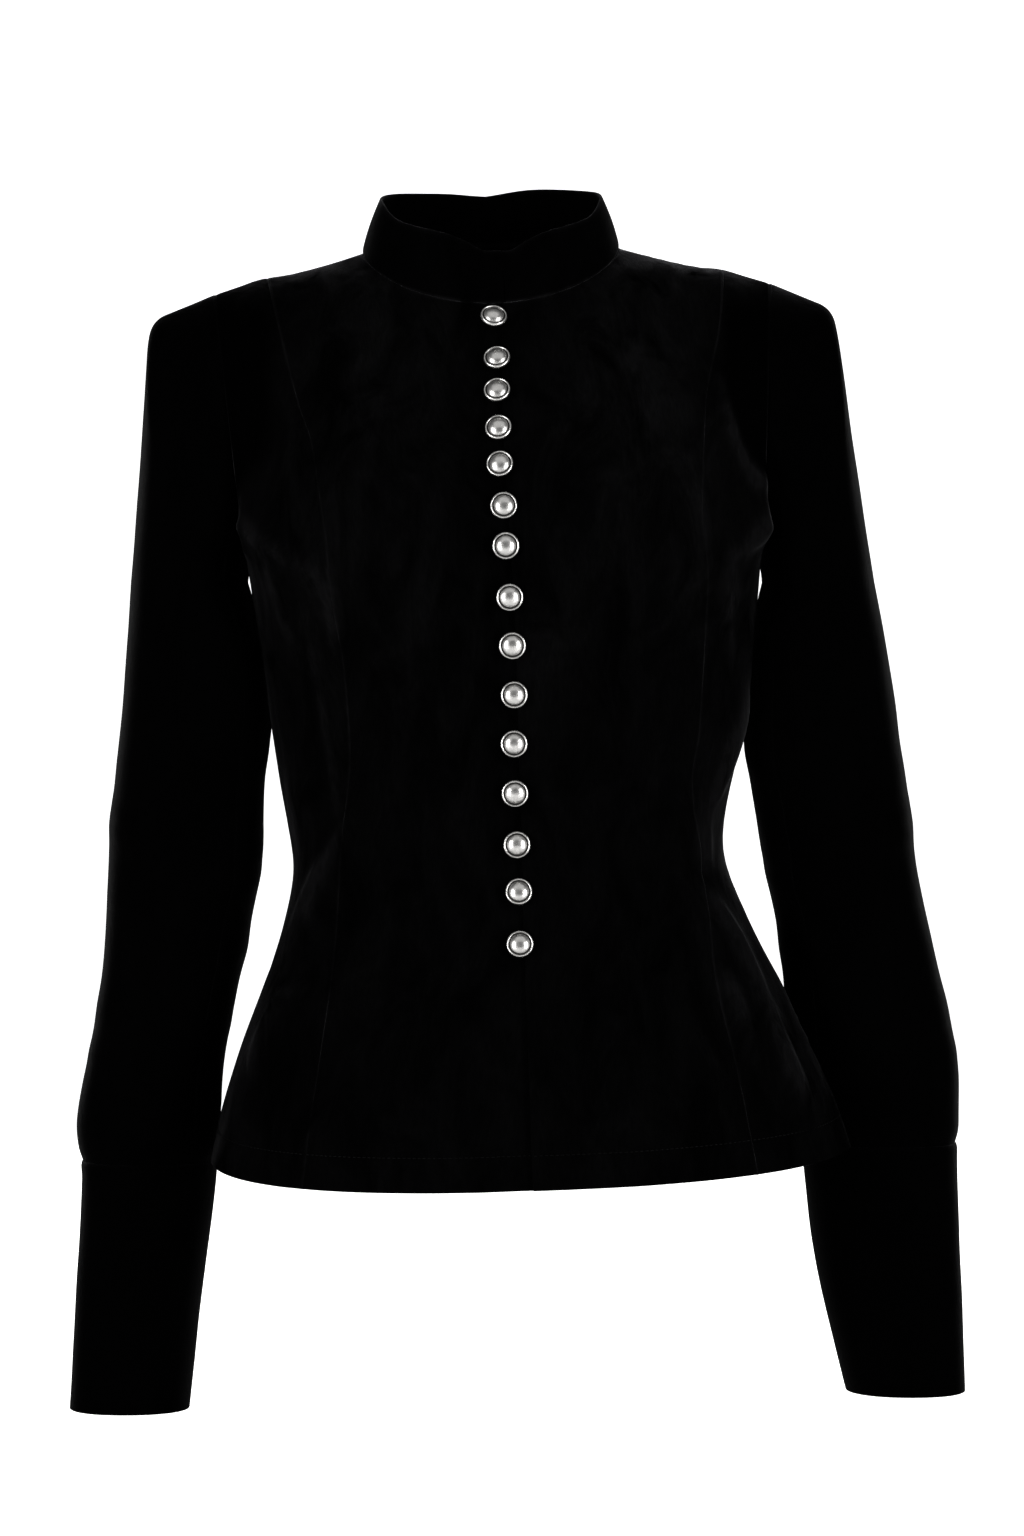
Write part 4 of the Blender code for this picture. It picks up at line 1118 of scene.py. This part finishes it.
class CoatFinish(bpy.types.PropertyGroup):
    """Colours and sheen"""
    # The two velvet colours are the ends of the painted tone and light: the dark one also stands for painted
    # shade, the light one for the painted highlights
    velvet_dark_and_shade: bpy.props.FloatVectorProperty(
        name="Velvet, into the nap", description="The cloth's colour where the pile swallows the light",
        default=(0.00003, 0.00003, 0.000035), subtype="COLOR", min=0.0, max=1.0)
    velvet_light_and_highlight: bpy.props.FloatVectorProperty(
        name="Velvet, brushed", description="The cloth's colour where the pile lies flat",
        default=(0.0022, 0.00215, 0.0023), subtype="COLOR", min=0.0, max=1.0)
    sheen: bpy.props.FloatProperty(
        name="Sheen", description="Strength of the velvet's light edges", default=0.16, min=0.0, max=1.0)
    sheen_spread: bpy.props.FloatProperty(
        name="Sheen spread", description="How far the light edges spread", default=0.27, min=0.05, max=1.0)
    sheen_colour: bpy.props.FloatVectorProperty(
        name="Sheen colour", description="Colour of the velvet's light edges", default=(0.78, 0.78, 0.82),
        subtype="COLOR", min=0.0, max=1.0)
    thread_colour: bpy.props.FloatVectorProperty(
        name="Thread", description="Colour of the sewing thread", default=(0.0003, 0.0003, 0.00033),
        subtype="COLOR", min=0.0, max=1.0)
    thread_light: bpy.props.FloatVectorProperty(
        name="Thread, lit", description="Colour of the sewing thread where its twist catches the light",
        default=(0.0014, 0.0014, 0.0015), subtype="COLOR", min=0.0, max=1.0)
    silver_bright: bpy.props.FloatVectorProperty(
        name="Silver, rubbed", description="Colour of the buttons where they are rubbed bright",
        default=(0.72, 0.71, 0.69), subtype="COLOR", min=0.0, max=1.0)
    silver_dark: bpy.props.FloatVectorProperty(
        name="Silver, dark", description="Colour of the buttons in their groove",
        default=(0.035, 0.034, 0.033), subtype="COLOR", min=0.0, max=1.0)
    floor_colour: bpy.props.FloatVectorProperty(
        name="Floor", description="Colour of the studio's floor and wall", default=(0.93, 0.93, 0.93),
        subtype="COLOR", min=0.0, max=1.0)


class CoatStudio(bpy.types.PropertyGroup):
    """Camera and lights"""
    distance: bpy.props.FloatProperty(
        name="Camera distance", description="How far in front of the coat the camera stands", default=3.0,
        min=1.0, max=10.0, unit="LENGTH")
    height: bpy.props.FloatProperty(
        name="Camera height", description="Height of the camera from the neckline's sides", default=-0.3367,
        min=-2.0, max=2.0, unit="LENGTH", precision=4)
    across: bpy.props.FloatProperty(
        name="Camera across", description="How far the camera stands to the wearer's left", default=0.01365,
        min=-1.0, max=1.0, unit="LENGTH", precision=5)
    side_light: bpy.props.FloatProperty(
        name="Side lights", description="Power of the two tall softboxes", default=60.0, min=0.0, max=500.0,
        unit="POWER")
    back_light: bpy.props.FloatProperty(
        name="Back lights", description="Power of the two softboxes behind the coat", default=40.0, min=0.0,
        max=500.0, unit="POWER")
    top_light: bpy.props.FloatProperty(
        name="Top light", description="Power of the overhead softbox", default=13.0, min=0.0, max=500.0,
        unit="POWER")
    air: bpy.props.FloatProperty(
        name="Room light", description="Strength of the even light of the white room", default=0.15, min=0.0,
        max=3.0)


class COAT_OT_fronts(bpy.types.Operator):
    """Sew the two centre fronts, the left one lying over the right at the closing edge"""
    bl_idname = "coat.fronts"
    bl_label = "Centre fronts"

    def execute(self, context):
        half = context.scene.coat_cloth.seam_gap / MM / 2
        right = seam("front", RIGHT_PRINCESS, half)
        left = seam("front", LEFT_PRINCESS, -half)
        sunk = seam("front", CLOSING_EDGE, -UNDERLAP_RAMP)
        under = seam("front", CLOSING_EDGE, -2.0)
        lap = seam("front", CLOSING_EDGE, UNDERLAP)
        closing = seam("front", CLOSING_EDGE, 0.0)
        sew_body(context, "right_front", "front", (right, neck_column(right, sunk, -1.0), sunk, under, lap),
                 (16, 16, 12, 5), ("left", "top"), underlap_lift, 0.4)
        sew_body(context, "left_front", "front", (closing, neck_column(closing, left, 1.0), left), (22, 22),
                 ("right", "top"), None, 1.3)
        return {"FINISHED"}


class COAT_OT_side_fronts(bpy.types.Operator):
    """Sew the two side fronts, from the princess seams round to the side seams"""
    bl_idname = "coat.side_fronts"
    bl_label = "Side fronts"

    def execute(self, context):
        gap = context.scene.coat_cloth.seam_gap / MM
        sewn = ("left", "right", "top")
        right = (side_edge("front", -1.0, gap), seam("front", RIGHT_PRINCESS, -gap / 2))
        left = (seam("front", LEFT_PRINCESS, gap / 2), side_edge("front", 1.0, gap))
        sew_body(context, "right_side_front", "front", right, (44,), sewn, None, 2.2)
        sew_body(context, "left_side_front", "front", left, (38,), sewn, None, 3.1)
        return {"FINISHED"}


class COAT_OT_backs(bpy.types.Operator):
    """Sew the back and the two side backs"""
    bl_idname = "coat.backs"
    bl_label = "Backs"

    def execute(self, context):
        gap = context.scene.coat_cloth.seam_gap / MM
        sewn = ("left", "right", "top")
        right_line = tuple((z, 2 * float(read(TORSO, 5, z)) - x) for z, x in BACK_PRINCESS)
        low = seam("back", right_line, gap)
        high = seam("back", BACK_PRINCESS, -gap)
        middle = (neck_column(low, high, -1.0, 0.3), neck_column(low, high, 1.0, 0.7))
        sew_body(context, "back", "back", (low, *middle, high), (16, 36, 16), sewn, None, 4.7)
        sew_body(context, "right_side_back", "back",
                 (side_edge("back", -1.0, gap), seam("back", right_line, -gap)), (44,), sewn, None, 5.2)
        sew_body(context, "left_side_back", "back",
                 (seam("back", BACK_PRINCESS, gap), side_edge("back", 1.0, gap)), (44,), sewn, None, 6.4)
        return {"FINISHED"}


class COAT_OT_sleeves(bpy.types.Operator):
    """Sew the top and under sleeves, with their squared, padded heads"""
    bl_idname = "coat.sleeves"
    bl_label = "Sleeves"

    def execute(self, context):
        cloth = context.scene.coat_cloth
        front = math.radians(FRONT_SEAM_ANGLE)
        back = math.radians(BACK_SEAM_ANGLE)
        gap = cloth.seam_gap / MM / 2 / SLEEVE_RADIUS
        downs = np.concatenate([np.linspace(0.0, 1.0, 58), np.linspace(1.0, 2.0, 125)[1:]])
        downs[-1] = 2 + CUFF_TUCKED / ARM_LENGTH
        for side, name in ((-1.0, "right"), (1.0, "left")):
            for half, start, end, count in (("top", front + gap, back - gap, 84),
                                            ("under", back + gap, front + 2 * math.pi - gap, 44)):
                shares = np.array([share for _, share in spans((count,))])
                if side < 0:
                    shares = 1 - shares
                angle, down = np.meshgrid(mix(start, end, shares), downs[::-1])
                place = sleeve(side, angle, down, cloth.creases)
                # Painted highlight on the top of the sleeve head, where light falls from above
                below = np.maximum(HEAD_HIGHLIGHT_FROM - place[..., 2], 0.0)
                nap = TONE_SLEEVE + SLEEVE_HEAD_HIGHLIGHT * np.exp(-(below / HEAD_HIGHLIGHT_FADE)**2)
                sew_piece(f"{name}_{half}_sleeve", place, context, ("left", "right", "bottom", "top"),
                          0.0, side * 1.7 + start, (), nap)
        return {"FINISHED"}


class COAT_OT_cuffs(bpy.types.Operator):
    """Sew the two deep cuffs"""
    bl_idname = "coat.cuffs"
    bl_label = "Cuffs"

    def execute(self, context):
        cloth = context.scene.coat_cloth
        back = math.radians(BACK_SEAM_ANGLE)
        gap = cloth.seam_gap / MM / 2 / CUFF_RADIUS
        for side, name in ((-1.0, "right"), (1.0, "left")):
            shares = np.array([share for _, share in spans((88,))])
            if side < 0:
                shares = 1 - shares
            start = CUFF_SEAM[name] - cloth.seam_gap / MM
            heights = np.concatenate([CUFF_END[name] + np.array([0.0, 0.8, 1.8, 3.2]),
                                      np.linspace(CUFF_END[name] + 6.0, start, 52)])
            angle, z = np.meshgrid(mix(back + gap, back + 2 * math.pi - gap, shares), heights)
            place = sleeve_section(side, np.mod(angle, 2 * np.pi), z)
            cuff = f"{name}_cuff"
            sew_piece(cuff, place, context, ("left", "right", "top"), 0.0, side + 3.3, (), TONE_CUFF)
        return {"FINISHED"}


class COAT_OT_stand_collar(bpy.types.Operator):
    """Sew the stand collar round the neckline, its two ends meeting at the closing edge"""
    bl_idname = "coat.stand_collar"
    bl_label = "Stand collar"

    def execute(self, context):
        edge = math.asin(float(read(CLOSING_EDGE, 1, -30.0)) / NECK_SIDE)
        gap = COLLAR_GAP / COLLAR_RADIUS
        shares = np.array([share for _, share in spans((150,))])
        angle, up = np.meshgrid(mix(edge + gap, edge + 2 * math.pi - gap, shares), np.linspace(0.0, 1.0, 20))
        place = collar(angle, up)
        # Painted highlight along the collar's top edge
        nap = TONE_COLLAR + COLLAR_EDGE_HIGHLIGHT * np.exp(-((1 - up) / 0.04)**2)
        sew_piece("stand_collar", place, context, ("bottom",), 0.0, 0.9, (), nap)
        return {"FINISHED"}


class COAT_OT_buttons(bpy.types.Operator):
    """Turn the fifteen domed buttons and set them on the front"""
    bl_idname = "coat.buttons"
    bl_label = "Buttons"

    def execute(self, context):
        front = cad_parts["right_front"].data
        cloth = BVHTree.FromPolygons([vertex.co for vertex in front.vertices],
                                     [face.vertices for face in front.polygons])
        for number, (seat, outward) in enumerate(button_seats(cloth), 1):
            add_button(context, number, seat, outward)
        return {"FINISHED"}


def button_seats(cloth):
    """Where each button's back lies and which way it faces."""
    x, z, turns, tips = np.array(BUTTONS).T
    low = np.zeros(len(BUTTONS))
    high = np.full(len(BUTTONS), 2.0)
    for _ in range(24):
        up = (low + high) / 2
        across = across_at("front", up, x)
        short = body("front", across, up)[:, 2] < z
        low = np.where(short, up, low)
        high = np.where(short, high, up)
    rises = unit(body("front", across, up + 0.02) - body("front", across, up - 0.02))
    seats = []
    for middle, rise, turn, tip in zip(body("front", across, up), rises, turns, tips):
        slope = Vector(rise)
        ahead = Vector((0.0, -1.0, 0.0))
        outward = (ahead - slope * ahead.dot(slope)).normalized()
        turned = Matrix.Rotation(math.radians(turn), 3, "Z")
        tipped = Matrix.Rotation(math.radians(-tip), 3, "X")
        outward = turned @ tipped @ outward
        met = cloth.ray_cast((Vector(middle) + outward * 20) * MM, -outward)[0]
        seats.append((met + outward * BUTTON_SHANK * MM, outward))
    return seats


def add_button(context, number, seat, outward):
    """Turns one button about its shank and sets it on its seat."""
    lathe = bmesh.new()
    ring = [lathe.verts.new((radius * MM, 0.0, out * MM)) for radius, out, _ in BUTTON_PROFILE]
    edges = [lathe.edges.new(pair) for pair in zip(ring, ring[1:])]
    bmesh.ops.spin(lathe, geom=ring + edges, axis=(0, 0, 1), cent=(0, 0, 0), angle=2 * math.pi, steps=56,
                   use_merge=True)
    bmesh.ops.remove_doubles(lathe, verts=lathe.verts, dist=1e-6)
    bmesh.ops.recalc_face_normals(lathe, faces=lathe.faces)
    dark = lathe.verts.layers.float.new("tarnish")
    profile = np.array(BUTTON_PROFILE)
    for vertex in lathe.verts:
        radius = math.hypot(vertex.co.x, vertex.co.y) / MM
        away = (profile[:, 0] - radius)**2 + (profile[:, 1] - vertex.co.z / MM)**2
        vertex[dark] = float(profile[np.argmin(away), 2])
    place = Matrix.Translation(seat) @ outward.to_track_quat("Z", "Y").to_matrix().to_4x4()
    bmesh.ops.transform(lathe, matrix=place, verts=lathe.verts)
    mesh = finished_mesh(f"button_{number}", lathe)
    add_piece(f"silver_button_{number}", mesh, silver(context), "silver", f"button_{number}")


def white_to_camera(owner, air):
    """A strength that lets the room look white, but lights the coat only as much as a dimmed room does."""
    return spread(owner, add_node(owner, "LightPath", output="Is Camera Ray"), air, 1.0)


def add_sweep(context):
    """The white floor, which bends up into a wall."""
    sweep = bmesh.new()
    front = sweep.edges.new([sweep.verts.new((x, SWEEP_FRONT, FLOOR)) for x in SWEEP_SIDES])
    border, rim = extruded(sweep, [front], (0.0, SWEEP_BEND - SWEEP_FRONT, 0.0))
    bmesh.ops.spin(sweep, geom=border + rim, cent=(0.0, SWEEP_BEND, FLOOR + SWEEP_RADIUS),
                   axis=(1.0, 0.0, 0.0), angle=math.pi / 2, steps=16)
    top = [vertex for vertex in sweep.verts if vertex.co.y > SWEEP_BEND + SWEEP_RADIUS - 0.0001]
    extruded(sweep, between(sweep, top), (0.0, 0.0, WALL_HEIGHT))
    bmesh.ops.recalc_face_normals(sweep, faces=sweep.faces)
    backdrop = bpy.data.objects.new("white_sweep", finished_mesh("white_sweep", sweep))
    material, shader = new_material("studio_white")
    feed(shader, {
        "Base Color": (*context.scene.coat_finish.floor_colour, 1.0),
        "Roughness": 0.9,
        "Emission Color": (1.0, 1.0, 1.0, 1.0),
        "Emission Strength": white_to_camera(material, context.scene.coat_studio.air),
    })
    backdrop.data.materials.append(material)
    context.scene.collection.objects.link(backdrop)


def extruded(made, edges, by):
    """Draws a sheet out of edges, and gives the new edge and its corners."""
    drawn = bmesh.ops.extrude_edge_only(made, edges=edges)
    rim = [item for item in drawn["geom"] if isinstance(item, bmesh.types.BMVert)]
    bmesh.ops.translate(made, vec=by, verts=rim)
    return between(made, rim), rim


def between(made, corners):
    """The edges that join some of the corners."""
    return [edge for edge in made.edges if all(vertex in corners for vertex in edge.verts)]


def add_room(context):
    """The even light of the white room."""
    world = bpy.data.worlds.new("white_room")
    world.use_nodes = True
    feed(world.node_tree.nodes["Background"], {
        "Color": (1.0, 1.0, 1.0, 1.0),
        "Strength": white_to_camera(world, context.scene.coat_studio.air),
    })
    context.scene.world = world
    context.scene.view_settings.view_transform = "Standard"


def add_softboxes(context):
    """The softboxes beside, behind and above the coat."""
    for name, place, size, setting in SOFTBOXES:
        lamp = bpy.data.lights.new(name, "AREA")
        lamp.shape = "RECTANGLE"
        lamp.size, lamp.size_y = size
        lamp.energy = getattr(context.scene.coat_studio, setting)
        light = bpy.data.objects.new(name, lamp)
        light.location = place
        light.rotation_euler = (Vector(LIGHTS_AIM) - Vector(place)).to_track_quat("-Z", "Y").to_euler()
        context.scene.collection.objects.link(light)


def add_camera(context):
    """The camera, level, with the photograph's field of view."""
    studio = context.scene.coat_studio
    lens = bpy.data.cameras.new("camera")
    lens.sensor_width = SENSOR
    lens.lens = SENSOR * studio.distance / PICTURE_HEIGHT
    lens.clip_end = 50.0
    camera = bpy.data.objects.new("camera", lens)
    camera.location = (studio.across, -studio.distance, studio.height)
    camera.rotation_euler = (math.radians(90.0), 0.0, 0.0)
    context.scene.collection.objects.link(camera)
    context.scene.camera = camera


class COAT_OT_studio(bpy.types.Operator):
    """Set the white floor and wall, the softboxes and the camera"""
    bl_idname = "coat.studio"
    bl_label = "Studio"

    def execute(self, context):
        add_sweep(context)
        add_room(context)
        add_softboxes(context)
        add_camera(context)
        return {"FINISHED"}


class COAT_PT_panel(bpy.types.Panel):
    """The coat's pieces, in the order that they are made"""
    bl_label = "Stand collar coat"
    bl_idname = "COAT_PT_panel"
    bl_space_type = "VIEW_3D"
    bl_region_type = "UI"
    bl_category = "Coat"

    def draw(self, context):
        layout = self.layout
        for operator in OPERATORS:
            layout.operator(operator.bl_idname)
        for title, group in (("Cloth", context.scene.coat_cloth), ("Stitching", context.scene.coat_stitching),
                             ("Finish", context.scene.coat_finish), ("Studio", context.scene.coat_studio)):
            box = layout.box()
            box.label(text=title)
            for name in group.__annotations__:
                box.prop(group, name)


GROUPS = {"coat_cloth": CoatCloth, "coat_stitching": CoatStitching, "coat_finish": CoatFinish,
          "coat_studio": CoatStudio}
OPERATORS = (COAT_OT_fronts, COAT_OT_side_fronts, COAT_OT_backs, COAT_OT_sleeves, COAT_OT_cuffs,
             COAT_OT_stand_collar, COAT_OT_buttons, COAT_OT_studio)


def register():
    for group in (*GROUPS.values(), *OPERATORS, COAT_PT_panel):
        bpy.utils.register_class(group)
    for name, group in GROUPS.items():
        setattr(bpy.types.Scene, name, bpy.props.PointerProperty(type=group))


def unregister():
    for name in GROUPS:
        delattr(bpy.types.Scene, name)
    for group in (COAT_PT_panel, *reversed(OPERATORS), *reversed(tuple(GROUPS.values()))):
        bpy.utils.unregister_class(group)


def main():
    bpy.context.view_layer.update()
    register()
    bpy.ops.coat.fronts()
    bpy.ops.coat.side_fronts()
    bpy.ops.coat.backs()
    bpy.ops.coat.sleeves()
    bpy.ops.coat.cuffs()
    bpy.ops.coat.stand_collar()
    bpy.ops.coat.buttons()
    bpy.ops.coat.studio()


if __name__ == "__main__":
    main()
